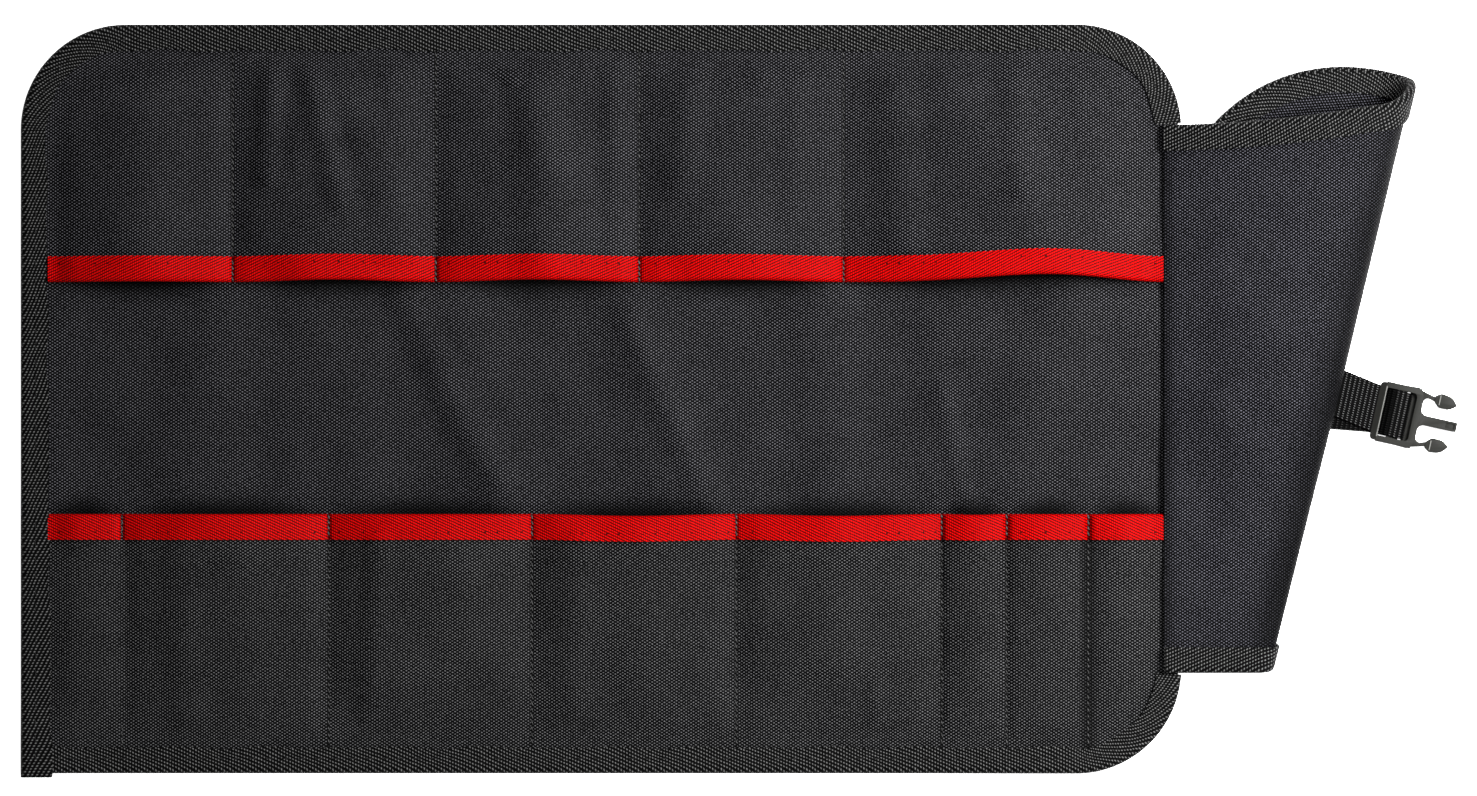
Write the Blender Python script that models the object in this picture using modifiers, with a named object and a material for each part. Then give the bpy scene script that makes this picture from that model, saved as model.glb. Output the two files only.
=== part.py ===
"""A tool roll laid open: a bound cloth panel with two rows of pockets, whose end flap is folded under.

Units are metres, +Z is up. The origin is the middle of the panel's underside, +X runs along the panel
towards its flap, and +Y runs towards the row of five pockets.
"""
import math
from collections import namedtuple

import bmesh
import bpy
from mathutils import Vector

# Cloth, tape and webbing
CLOTH = 0.001
TAPE = 0.001
WEBBING = 0.0013
GAP = 0.0004
FLAP_TAPE_GAP = 0.0006
MERGE = 0.00001
SLOPE_STEP = 0.0005

# The panel, with its tape
PANEL_LENGTH = 0.496
PANEL_WIDTH = 0.320
CORNER_RADIUS = 0.045
BINDING_WIDTH = 0.011
BINDING_TAIL = 0.0017
EDGE_FADE = 0.024
PANEL_COLUMNS = 25
PANEL_ROWS = (
    (0.0, 0.035, 0.085, 0.15, 0.25, 0.345, 0.42, 0.5)
    + (0.53, 0.58, 0.655, 0.69, 0.76, 0.85, 0.915, 0.965, 1.0)
)
ARC_STEPS = 5
TOP_STEPS = 24
BOTTOM_STEPS = 23

# The pockets, which open towards the middle of the panel
UPPER_DEPTH = 0.1105
LOWER_DEPTH = 0.1110
MOUTH_TAPE_WIDTH = 0.011
ARCH_HEIGHT = 0.0072
MOUTH_BOW = 0.0039
MOUTH_FADE = 0.024
ARCH_FADE = 0.014
POCKET_ROWS = (0.42, 0.6, 0.78, 0.9, 1.0)

# The flap: it is sewn on the panel's right end, and its free end is folded under
FLAP_LENGTH = 0.180
FLAP_WIDTH = 0.234
FLAP_CORNER = 0.075
FLAP_FLARE = 0.030
FLARE_POWER = 1.6
FLAP_SEAM = 0.0074
FOLD_REACH = 0.0745
FOLD_TILT = math.radians(14.2)
FOLD_RADIUS_TOP = 0.0130
FOLD_RADIUS_BOTTOM = 0.0050
RAMP_LENGTH = 0.085
FLAP_ROWS = (0.0, 0.06, 0.14, 0.24, 0.34, 0.42, 0.48, 0.54, 0.6, 0.68, 0.78, 0.87, 0.94, 1.0)
RISE_STEPS = 5
TURN_STEPS = 10
BACK_STEPS = 7
BACK_FIRST = 0.04
END_STEPS = 8
HALVINGS = 40

# The strap under the panel, and its plug
STRAP_WIDTH = 0.020
STRAP_TURN = math.radians(12.5)
STRAP_LENGTH = 0.165
STRAP_BEND_LENGTH = 0.080
STRAP_OUT = 0.0166
STRAP_OFFSET = -0.0010
TAIL_LENGTH = 0.036
TAIL_TURN = math.radians(8.0)
HUMP_HALF = 0.018
HUMP_FADE = 0.026
STRAP_STEPS = 16
LOOP_STEPS = 6
TAIL_STEPS = 4
PLUG_WIDTH = 0.0266
PLUG_FRAME_LENGTH = 0.0187
PLUG_LENGTH = 0.0355
PLUG_HEIGHT = 0.0062
RAIL_WIDTH = 0.0028
REAR_BAR = 0.0026
WEB_BAR = 0.0050
ARM_WIDTH = 0.0019
ARM_HEIGHT = 0.0030
HEAD_LENGTH = 0.0104
HEAD_WIDTH = 0.0054
HEAD_HEIGHT = 0.0046
HEAD_INSET = 0.0012
HEAD_SETBACK = 0.0020
GUIDE_WIDTH = 0.0042

# The hidden socket that the plug clicks into, on its own short strap inside the folded flap
SOCKET_LENGTH = 0.026
SOCKET_WIDTH = 0.0280
SOCKET_HEIGHT = 0.0092
SOCKET_WALL = 0.0016
SOCKET_DEPTH = 0.0175
SOCKET_BAR = 0.0028
SOCKET_STRAP_LENGTH = 0.020
SOCKET_BACK = 0.063
SOCKET_UP = 0.047

Pocket = namedtuple("Pocket", "right_edge arch bow cells")

# Right edges are shares of the row, arches of ARCH_HEIGHT and bows of MOUTH_BOW
UPPER_POCKETS = (
    Pocket(0.166, 0.80, 0.0, 6),
    Pocket(0.348, 1.00, 0.0, 6),
    Pocket(0.530, 1.00, 0.1, 6),
    Pocket(0.713, 1.00, 0.1, 6),
    Pocket(1.000, 1.25, 1.0, 12),
)
LOWER_POCKETS = (
    Pocket(0.067, 0.85, 0.0, 4),
    Pocket(0.252, 1.00, 0.0, 6),
    Pocket(0.434, 1.00, 0.1, 6),
    Pocket(0.617, 1.00, 0.1, 6),
    Pocket(0.801, 1.00, 0.1, 6),
    Pocket(0.859, 0.90, 0.0, 4),
    Pocket(0.932, 0.95, 0.0, 4),
    Pocket(1.000, 1.05, 0.0, 4),
)

Fold = namedtuple("Fold", "start_x start_y end_x end_y rise width")

# Ends are shares of the panel's length and width from its middle, rises of ARCH_HEIGHT
PANEL_FOLDS = (
    Fold(-0.170, 0.130, -0.092, -0.110, 0.30, 0.012),
    Fold(0.022, 0.105, 0.090, -0.130, 0.25, 0.010),
)
POCKET_FOLDS = (
    Fold(-0.235, 0.405, -0.300, 0.230, 0.22, 0.014),
    Fold(-0.215, 0.400, -0.190, 0.290, 0.22, 0.014),
    Fold(-0.060, 0.400, -0.020, 0.230, 0.22, 0.016),
    Fold(0.300, 0.420, 0.380, 0.240, 0.22, 0.020),
)

Outline = namedtuple("Outline", "along inward")

# Shares of HEAD_LENGTH and HEAD_WIDTH
HEAD_OUTLINE = (
    Outline(0.00, 0.55),
    Outline(0.10, 0.08),
    Outline(0.30, 0.00),
    Outline(0.65, 0.16),
    Outline(1.00, 0.55),
    Outline(0.85, 0.92),
    Outline(0.50, 1.00),
    Outline(0.10, 0.85),
)

HALF_LENGTH = PANEL_LENGTH / 2
HALF_WIDTH = PANEL_WIDTH / 2
EDGE_ROOM = TAPE + GAP
ROW_LEFT = -HALF_LENGTH + BINDING_WIDTH + GAP
ROOT_X = HALF_LENGTH - FLAP_SEAM
UPPER_MOUTH = HALF_WIDTH - UPPER_DEPTH
LOWER_MOUTH = HALF_WIDTH - LOWER_DEPTH


def ease(share):
    """A smooth step from 0 to 1."""
    share = min(max(share, 0.0), 1.0)
    return share * share * (3 - 2 * share)


def mix(low, high, share):
    """The value at a share of the way from low to high."""
    return low + (high - low) * share


def steps(low, high, count):
    """Evenly spaced values from low to high, with both ends."""
    return [mix(low, high, i / count) for i in range(count + 1)]


def corner_drop(past, radius):
    """How far a rounded corner falls away at a distance past the start of its arc."""
    past = min(max(past, 0.0), radius)
    return radius - math.sqrt(radius * radius - past * past)


# The flap's place: flat lengths run from its root along a and across it along b
def flap_top(a, inset):
    """The flap's upper edge, which flares towards its free end and ends in a round corner."""
    reach = FLAP_LENGTH - inset
    radius = FLAP_CORNER - inset
    flare = FLAP_FLARE * (max(a, 0.0) / FLAP_LENGTH) ** FLARE_POWER
    return FLAP_WIDTH / 2 - inset + flare - corner_drop(a - reach + radius, radius)


def flap_bottom(a, inset):
    """The flap's lower edge, straight as far as its round corner."""
    reach = FLAP_LENGTH - inset
    radius = FLAP_CORNER - inset
    return -FLAP_WIDTH / 2 + inset + corner_drop(a - reach + radius, radius)


def fold_radius(along):
    """The radius of the fold, which opens like a cone towards the top."""
    half = FLAP_WIDTH / 2 / math.cos(FOLD_TILT)
    return mix(FOLD_RADIUS_BOTTOM, FOLD_RADIUS_TOP, (along + half) / (2 * half))


def fold_frame(a, b):
    """A flat point's distance past the bend's start, its place along the fold, and the fold's radius."""
    across = (a - FOLD_REACH) * math.cos(FOLD_TILT) - b * math.sin(FOLD_TILT)
    along = (a - FOLD_REACH) * math.sin(FOLD_TILT) + b * math.cos(FOLD_TILT)
    radius = fold_radius(along)
    return across + radius, along, radius


def flap_plan(a, b):
    """The place of a flat point of the flap, seen from above."""
    past, along, radius = fold_frame(a, b)
    turned = math.pi * radius
    if past <= 0:
        across = past - radius
    elif past < turned:
        across = radius * math.sin(past / radius) - radius
    else:
        across = turned - past - radius
    x = ROOT_X + FOLD_REACH + across * math.cos(FOLD_TILT) + along * math.sin(FOLD_TILT)
    y = along * math.cos(FOLD_TILT) - across * math.sin(FOLD_TILT)
    return x, y


def bend_start(share):
    """The length along the flap at which its fold starts, on the line at a share of its width."""
    low, high = 0.0, FLAP_LENGTH
    for _ in range(HALVINGS):
        middle = (low + high) / 2
        b = mix(flap_bottom(middle, EDGE_ROOM), flap_top(middle, EDGE_ROOM), share)
        if fold_frame(middle, b)[0] < 0:
            low = middle
        else:
            high = middle
    return low


def free_edge(count):
    """Flat points along the flap's free end, from its lower corner to its upper one."""
    turns = steps(0.0, math.pi / 2, count)
    ends = [FLAP_LENGTH - FLAP_CORNER * (1 - math.sin(turn)) for turn in turns]
    low = [(a, flap_bottom(a, 0.0)) for a in ends]
    return low + [(a, flap_top(a, 0.0)) for a in reversed(ends)]


TUCK_REACH = min(flap_plan(a, b)[0] for a, b in free_edge(END_STEPS))
FLAP_STACK = 2 * TAPE + CLOTH + 2 * FLAP_TAPE_GAP + GAP
FLAP_EDGE_ROOM = TAPE + FLAP_TAPE_GAP + GAP


# The strap's place: its centre line and its height on the floor
STRAP_CROSSING = ROOT_X + FOLD_REACH + STRAP_OFFSET * math.tan(FOLD_TILT)
PLUG_X = STRAP_CROSSING + STRAP_OUT * math.cos(STRAP_TURN)
STRAP_START = PLUG_X - STRAP_LENGTH
BEND_END = STRAP_START + STRAP_LENGTH / 2
BEND_START = BEND_END - STRAP_BEND_LENGTH
TAIL_END = PLUG_X - TAIL_LENGTH


def strap_line(x):
    """The strap's centre line: straight out of the fold, then turning square to the panel."""
    slope = -math.tan(STRAP_TURN)
    bent = min(max(x, BEND_START), BEND_END) - BEND_START
    curve = bent * bent / (2 * STRAP_BEND_LENGTH) - STRAP_BEND_LENGTH / 2
    return STRAP_OFFSET + slope * (BEND_END - STRAP_CROSSING + curve + max(x - BEND_END, 0.0))


def strap_top(x):
    """The height of the strap's upper face: one layer, or two where its tail lies under it."""
    doubled = ease((x - TAIL_END + HUMP_FADE) / HUMP_FADE)
    return WEBBING + (WEBBING + GAP) * doubled


def strap_hump(x, y):
    """How far cloth is lifted where it lies over the strap."""
    across = abs(y - strap_line(x)) * math.cos(STRAP_TURN)
    beside = ease((across - HUMP_HALF) / HUMP_FADE)
    before = ease((STRAP_START - HUMP_FADE / 2 - x) / HUMP_FADE)
    return (strap_top(x + HUMP_FADE) + GAP) * (1 - beside) * (1 - before)


# The panel and what lies on it
def edge_distance(x, y):
    """The distance inwards from the panel's bound outline, whose lower left corner is square."""
    past_x = abs(x) - HALF_LENGTH + CORNER_RADIUS
    past_y = abs(y) - HALF_WIDTH + CORNER_RADIUS
    if past_x > 0 and past_y > 0 and not (x < 0 and y < 0):
        return CORNER_RADIUS - math.hypot(past_x, past_y)
    return min(HALF_LENGTH - abs(x), HALF_WIDTH - abs(y))


def corner_overlap(x, y):
    """1 at the square corner, where the left binding laps over the lower one, and 0 away from it."""
    beside = ease((x + HALF_LENGTH - BINDING_WIDTH - GAP) / EDGE_FADE)
    above = ease((y + HALF_WIDTH - BINDING_WIDTH - GAP) / EDGE_FADE)
    return (1 - beside) * (1 - above)


def segment_distance(x, y, fold):
    """The distance from a point to a fold's crest line."""
    start = Vector((fold.start_x * PANEL_LENGTH, fold.start_y * PANEL_WIDTH))
    span = Vector((fold.end_x * PANEL_LENGTH, fold.end_y * PANEL_WIDTH)) - start
    offset = Vector((x, y)) - start
    share = min(max(offset.dot(span) / span.length_squared, 0.0), 1.0)
    return (offset - span * share).length


def fold_rise(x, y, folds):
    """The height of the soft folds at a point."""
    return sum(
        fold.rise * ARCH_HEIGHT * (1 - ease(segment_distance(x, y, fold) / fold.width)) for fold in folds
    )


def panel_underside(x, y):
    """The panel's lower face: flat on the floor, up at its bound edges and over the tucked flap."""
    bound = EDGE_ROOM * (1 - ease((edge_distance(x, y) - BINDING_WIDTH) / EDGE_FADE))
    ramp = (FLAP_STACK + GAP) * ease((x - TUCK_REACH + RAMP_LENGTH) / RAMP_LENGTH)
    lapped = EDGE_ROOM * corner_overlap(x, y)
    return bound + ramp + lapped + strap_hump(x, y) + fold_rise(x, y, PANEL_FOLDS)


def row_edges(pockets):
    """Where the seams of a row of pockets are, from the left binding to the flap's root."""
    return [ROW_LEFT] + [mix(ROW_LEFT, ROOT_X, pocket.right_edge) for pocket in pockets]


def pocket_at(x, pockets):
    """The pocket over a place along the row, with the share of its width there."""
    edges = row_edges(pockets)
    for pocket, left, right in zip(pockets, edges, edges[1:]):
        if left <= x <= right:
            return pocket, (x - left) / (right - left)
    return pockets[0], 0.0


def pocket_underside(x, y, pockets, mouth):
    """The lower face of a row's cloth: flat at its seams and its closed end, arched at its mouth."""
    pocket, share = pocket_at(x, pockets)
    inner_end = HALF_WIDTH - BINDING_WIDTH
    open_share = min(max((inner_end - abs(y)) / (inner_end - mouth), 0.0), 1.0)
    opening = 1 - (1 - open_share) ** 2
    clear = ease((edge_distance(x, y) - BINDING_WIDTH) / ARCH_FADE)
    arch = pocket.arch * ARCH_HEIGHT * math.sin(math.pi * share) * opening * clear
    tape_room = EDGE_ROOM * (1 - ease((abs(y) - mouth - MOUTH_TAPE_WIDTH) / MOUTH_FADE))
    folds = fold_rise(x, y, POCKET_FOLDS) * math.sin(math.pi * share) * clear
    return panel_underside(x, y) + CLOTH + GAP + tape_room + arch + folds


def mouth_line(x, pockets, mouth):
    """How far from the panel's middle line a row's mouth is, with the bow of a slack pocket."""
    pocket, share = pocket_at(x, pockets)
    return mouth + pocket.bow * MOUTH_BOW * math.sin(math.pi * share) ** 2


def lifted(surface, x, y, height):
    """The height of a point straight above a surface, at a distance measured square to it."""
    slope_x = (surface(x + SLOPE_STEP, y) - surface(x - SLOPE_STEP, y)) / (2 * SLOPE_STEP)
    slope_y = (surface(x, y + SLOPE_STEP) - surface(x, y - SLOPE_STEP)) / (2 * SLOPE_STEP)
    return surface(x, y) + height * math.sqrt(1 + slope_x * slope_x + slope_y * slope_y)


# Making and finishing pieces
def clear_scene():
    """Removes what the file holds."""
    for found in list(bpy.data.objects):
        bpy.data.objects.remove(found)


def finish(name, color, roughness):
    """A plain material for one kind of piece."""
    material = bpy.data.materials.new(name)
    material.use_nodes = True
    shader = material.node_tree.nodes["Principled BSDF"]
    shader.inputs["Base Color"].default_value = (*color, 1.0)
    shader.inputs["Roughness"].default_value = roughness
    return material


def add_object(name, mesh, collection, material=None):
    """A new object in a collection."""
    made = bpy.data.objects.new(name, mesh)
    collection.objects.link(made)
    if material:
        made.data.materials.append(material)
    return made


def thick_sheet(name, across, along, place, wall, side, material):
    """An open grid put in place point by point, with a wall from Solidify.

    across and along are the grid's lines; side is 1 for a wall above the grid, -1 below, 0 on both sides.
    """
    bm = bmesh.new()
    bmesh.ops.create_grid(bm, x_segments=len(across) - 1, y_segments=len(along) - 1, size=0.5)
    for vert in bm.verts:
        column = round((vert.co.x + 0.5) * (len(across) - 1))
        row = round((vert.co.y + 0.5) * (len(along) - 1))
        vert.co = place(across[column], along[row])
    mesh = bpy.data.meshes.new(name)
    bm.to_mesh(mesh)
    bm.free()
    made = add_object(name, mesh, parts, material)
    solidify = made.modifiers.new("wall", "SOLIDIFY")
    solidify.thickness = wall
    solidify.offset = side
    solidify.use_even_offset = True
    mesh.shade_smooth()
    return made


def corner_lines(inset):
    """Distances from a side at which the lines of a round corner lie."""
    radius = CORNER_RADIUS - inset
    return [inset + radius * (1 - math.cos(math.pi / 2 * i / ARC_STEPS)) for i in range(ARC_STEPS + 1)]


def side_line(x, inset, square_left):
    """Half the panel's width at a place along it, inside its bound outline, whose arcs are chords."""
    if square_left and x < 0:
        return HALF_WIDTH - inset
    lines = corner_lines(inset)
    from_end = HALF_LENGTH - abs(x)
    for before, after in zip(lines, lines[1:]):
        if from_end < after:
            share = max(from_end - before, 0.0) / (after - before)
            radius = CORNER_RADIUS - inset
            first = corner_drop(radius + inset - before, radius)
            last = corner_drop(radius + inset - after, radius)
            return HALF_WIDTH - inset - mix(first, last, share)
    return HALF_WIDTH - inset


def make_back_panel():
    """The panel: one sheet with three round corners and a square one."""
    ends = corner_lines(EDGE_ROOM)
    middle = steps(-HALF_LENGTH + ends[-1], HALF_LENGTH - ends[-1], PANEL_COLUMNS)
    columns = [-HALF_LENGTH + end for end in ends[:-1]] + middle + [HALF_LENGTH - end for end in ends[-2::-1]]

    def place(x, share):
        low = -side_line(x, EDGE_ROOM, True)
        high = side_line(x, EDGE_ROOM, False)
        y = mix(low, high, share)
        return x, y, panel_underside(x, y)

    return thick_sheet("back_panel", columns, PANEL_ROWS, place, CLOTH, 1, black_cloth)


def row_columns(pockets):
    """Lines across a row of pockets: a few over each pocket, with every seam on a line."""
    edges = row_edges(pockets)
    columns = [-HALF_LENGTH + EDGE_ROOM]
    for pocket, left, right in zip(pockets, edges, edges[1:]):
        columns += steps(left, right, pocket.cells)[:-1]
    return columns + [ROOT_X, HALF_LENGTH - EDGE_ROOM]


def make_pocket_row(name, pockets, mouth, upward):
    """A row of pockets: one sheet sewn down at its seams, which arches up between them."""
    depth = HALF_WIDTH - EDGE_ROOM - mouth
    near = [0.0, MOUTH_TAPE_WIDTH, MOUTH_TAPE_WIDTH + MOUTH_FADE / 2, MOUTH_TAPE_WIDTH + MOUTH_FADE]
    rows = [length / depth for length in near] + list(POCKET_ROWS)

    def place(x, share):
        closed = side_line(x, EDGE_ROOM, not upward)
        y = mix(mouth_line(x, pockets, mouth), closed, share)
        y = y if upward else -y
        return x, y, pocket_underside(x, y, pockets, mouth)

    return thick_sheet(name, row_columns(pockets), rows, place, CLOTH, 1 if upward else -1, black_cloth)


def make_mouth_tape(name, pockets, mouth, upward):
    """The red tape folded over a row's mouth."""
    section = (
        (MOUTH_TAPE_WIDTH, CLOTH + GAP),
        (-GAP, CLOTH + GAP),
        (-GAP, -GAP),
        (MOUTH_TAPE_WIDTH, -GAP),
    )
    columns = [x for x in row_columns(pockets) if ROW_LEFT <= x <= ROOT_X]
    columns[-1] = ROOT_X - GAP

    def place(x, corner):
        inward, height = section[corner]
        y = mouth_line(x, pockets, mouth)
        y = y if upward else -y

        def cloth(x, y):
            return pocket_underside(x, y, pockets, mouth)

        side = 1 if upward else -1
        return x, y + side * inward, lifted(cloth, x, y + side * max(inward, 0.0), height)

    corners = range(len(section))
    return thick_sheet(name, columns, corners, place, TAPE, -1 if upward else 1, red_tape)


Station = namedtuple("Station", "x y inward_x inward_y")


def make_binding(name, stations, lap):
    """A tape folded over the panel's edge, swept through stations along its outline.

    lap is 1 for the tape that goes over the other one at the square corner, and 0 for the one under it.
    """
    section = ((BINDING_WIDTH, True), (TAPE, True), (TAPE, False), (BINDING_WIDTH, False))

    def place(station, corner):
        inward, over = section[corner]
        x = station.x + station.inward_x * inward
        y = station.y + station.inward_y * inward
        base = panel_underside(x, max(y, -HALF_WIDTH + TAPE))
        lapped = lap * EDGE_ROOM * corner_overlap(x, y)
        if not over:
            return x, y, base - GAP - lapped
        mouth = UPPER_MOUTH if y > 0 else LOWER_MOUTH
        past_mouth = ease((abs(y) - mouth + MOUTH_FADE) / MOUTH_FADE)
        tape_room = EDGE_ROOM * (1 - ease((abs(y) - mouth - MOUTH_TAPE_WIDTH) / MOUTH_FADE))
        stack = CLOTH + GAP + (CLOTH + GAP + tape_room) * past_mouth
        return x, y, base + stack + lapped

    corners = range(len(section))
    return thick_sheet(name, stations, corners, place, TAPE, -1, black_tape)


def corner_stations(centre_x, centre_y, start_turn, end_turn):
    """Stations round a corner's arc."""
    turns = steps(start_turn, end_turn, ARC_STEPS)
    return [
        Station(
            centre_x + CORNER_RADIUS * math.cos(turn),
            centre_y + CORNER_RADIUS * math.sin(turn),
            -math.cos(turn),
            -math.sin(turn),
        )
        for turn in turns
    ]


def past_flap(stations):
    """The stations that lie beyond the flap's side, starting with one on that side."""
    limit = FLAP_WIDTH / 2 + 2 * GAP
    if abs(stations[0].y) > limit:
        return [Station(stations[0].x, math.copysign(limit, stations[0].y), -1, 0)] + stations
    for index, (before, after) in enumerate(zip(stations, stations[1:])):
        if abs(after.y) > limit:
            share = (limit - abs(before.y)) / (abs(after.y) - abs(before.y))
            return [Station(*(mix(a, b, share) for a, b in zip(before, after)))] + stations[index + 1 :]
    return stations


def make_long_binding():
    """The tape from the flap's upper side, over the top and down the left side to the square corner."""
    centre_y = HALF_WIDTH - CORNER_RADIUS
    centre_x = HALF_LENGTH - CORNER_RADIUS
    stations = past_flap(corner_stations(centre_x, centre_y, 0, math.pi / 2))
    stations += [Station(x, HALF_WIDTH, 0, -1) for x in steps(centre_x, -centre_x, TOP_STEPS)[1:-1]]
    stations += corner_stations(-centre_x, centre_y, math.pi / 2, math.pi)
    inner = MOUTH_TAPE_WIDTH + MOUTH_FADE
    past_mouth = (inner, inner - MOUTH_FADE / 2, MOUTH_TAPE_WIDTH, 0.0, -MOUTH_FADE / 2, -MOUTH_FADE)
    lapped = (EDGE_FADE, EDGE_FADE / 2, 0.0)
    stops = [mix(centre_y, UPPER_MOUTH + inner, 0.5)]
    stops += [UPPER_MOUTH + past for past in past_mouth] + [0.0]
    stops += [-LOWER_MOUTH - past for past in past_mouth[::-1]]
    stops += [-HALF_WIDTH + BINDING_WIDTH + GAP + up for up in lapped]
    stops.append(-HALF_WIDTH - BINDING_TAIL)
    stations += [Station(-HALF_LENGTH, y, 1, 0) for y in stops]
    return make_binding("long_binding", stations, 1)


def make_bottom_binding():
    """The tape from the square corner, along the bottom and up the right side to the flap."""
    centre_y = -HALF_WIDTH + CORNER_RADIUS
    centre_x = HALF_LENGTH - CORNER_RADIUS
    start = -HALF_LENGTH + EDGE_ROOM
    near = [start, start + BINDING_WIDTH, start + BINDING_WIDTH + EDGE_FADE / 2]
    near += steps(near[-1] + EDGE_FADE / 2, centre_x, BOTTOM_STEPS)[:-1]
    stations = [Station(x, -HALF_WIDTH, 0, 1) for x in near]
    stations += past_flap(corner_stations(centre_x, centre_y, 0, -math.pi / 2))[::-1]
    return make_binding("bottom_binding", stations, 0)


def flap_surface(a, b):
    """The flap's outer face: up from its root, round the fold and back along the floor."""
    past, along, radius = fold_frame(a, b)
    x, y = flap_plan(a, b)
    edge = min(flap_top(a, 0.0) - b, b - flap_bottom(a, 0.0), FLAP_LENGTH - a)
    bound = FLAP_EDGE_ROOM * (1 - ease((edge - BINDING_WIDTH) / EDGE_FADE))
    turned = math.pi * radius
    if past >= turned:
        return Vector((x, y, bound + strap_hump(x, y)))
    floor = strap_hump(x, y) + bound
    if past > 0:
        return Vector((x, y, floor + radius * (1 + math.cos(past / radius))))
    start_a = a - past / math.cos(FOLD_TILT)
    start_x, start_y = flap_plan(start_a, b)
    crest = strap_hump(start_x, start_y) + bound + 2 * radius
    share = min(max(a, 0.0) / max(start_a, GAP), 1.0)
    return Vector((x, y, mix(FLAP_ROOT_HEIGHT, crest, 1 - (1 - share) ** 2)))


def flap_point(a, b, height):
    """A point off the flap's outer face, square to it."""
    run = flap_surface(a + SLOPE_STEP, b) - flap_surface(a - SLOPE_STEP, b)
    rise = flap_surface(a, b + SLOPE_STEP) - flap_surface(a, b - SLOPE_STEP)
    return flap_surface(a, b) + run.cross(rise).normalized() * height


ROOT_STACK = 3 * CLOTH + TAPE + 3 * GAP + FLAP_TAPE_GAP
FLAP_ROOT_HEIGHT = panel_underside(ROOT_X, HALF_WIDTH / 2) + ROOT_STACK
RISE_SHARES = steps(0.0, 1.0, RISE_STEPS)
TURN_SHARES = steps(0.0, 1.0, TURN_STEPS)
BACK_SHARES = [0.0, BACK_FIRST] + [math.sin(turn) for turn in steps(0.0, math.pi / 2, BACK_STEPS)[1:]]


def flap_lengths(share, inset):
    """Lengths along the flap for one line of it: up its front, round its fold and along its back."""
    start = bend_start(share)
    b = mix(flap_bottom(start, EDGE_ROOM), flap_top(start, EDGE_ROOM), share)
    end = start + math.pi * fold_frame(start, b)[2] / math.cos(FOLD_TILT)
    lengths = [start * rise for rise in RISE_SHARES[:-1]]
    lengths += [mix(start, end, turn) for turn in TURN_SHARES[:-1]]
    return lengths + [mix(end, FLAP_LENGTH - inset, back) for back in BACK_SHARES]


def make_flap():
    """The flap: one sheet from its root to its free end, rolled under like a cone."""
    count = len(flap_lengths(0.0, EDGE_ROOM))

    def place(column, share):
        a = flap_lengths(share, EDGE_ROOM)[column]
        b = mix(flap_bottom(a, EDGE_ROOM), flap_top(a, EDGE_ROOM), share)
        return flap_surface(a, b)

    return thick_sheet("flap", range(count), FLAP_ROWS, place, CLOTH, -1, black_cloth)


def make_flap_binding():
    """The tape folded over the flap's edge, from its root round its free end and back."""
    top = [(a, flap_top(a, 0.0)) for a in flap_lengths(1.0, 0.0)]
    bottom = [(a, flap_bottom(a, 0.0)) for a in flap_lengths(0.0, 0.0)]
    end = [(FLAP_LENGTH, mix(bottom[-1][1], top[-1][1], share)) for share in FLAP_ROWS[-2:0:-1]]
    outline = [Vector(point) for point in top + end + bottom[::-1]]
    under = -CLOTH - FLAP_TAPE_GAP
    section = ((BINDING_WIDTH, FLAP_TAPE_GAP), (TAPE, FLAP_TAPE_GAP), (TAPE, under), (BINDING_WIDTH, under))

    def place(index, corner):
        before = outline[max(index - 1, 0)]
        after = outline[min(index + 1, len(outline) - 1)]
        tangent = (after - before).normalized()
        inward, height = section[corner]
        point = outline[index] + Vector((tangent.y, -tangent.x)) * inward
        return flap_point(max(point.x, 0.0), point.y, height)

    indexes = range(len(outline))
    return thick_sheet("flap_binding", indexes, range(len(section)), place, TAPE, 1, black_tape)


# Webbing and buckle
def make_webbing(name, path, width, material):
    """Webbing of one thickness along a path of (centre, sideways direction) pairs."""

    def place(index, side):
        centre, sideways = path[index]
        return centre + sideways * side * width

    return thick_sheet(name, range(len(path)), (-0.5, 0.0, 0.5), place, WEBBING, 0, material)


LAYER = WEBBING + GAP
FLOOR_LAYER = WEBBING / 2
WEB_BAR_START = REAR_BAR + 2 * LAYER + 2 * GAP
WEB_BAR_BOTTOM = WEBBING + GAP
WEB_BAR_TOP = PLUG_HEIGHT - WEBBING - 2 * GAP
LOOP_RADIUS = (WEB_BAR_TOP - WEB_BAR_BOTTOM + 2 * GAP + WEBBING) / 2
LOOP_CENTRE = WEB_BAR_START + WEB_BAR - GAP
SOCKET_LOOP = (SOCKET_BAR + 2 * GAP + WEBBING) / 2
HEAD_START = PLUG_LENGTH - HEAD_SETBACK - HEAD_LENGTH


def plug_place(along, sideways, height):
    """A point in the plug's own directions: along it from its rear edge, sideways and up."""
    x = PLUG_X + along * math.cos(STRAP_TURN) + sideways * math.sin(STRAP_TURN)
    y = strap_line(PLUG_X) - along * math.sin(STRAP_TURN) + sideways * math.cos(STRAP_TURN)
    return Vector((x, y, height))


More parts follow.
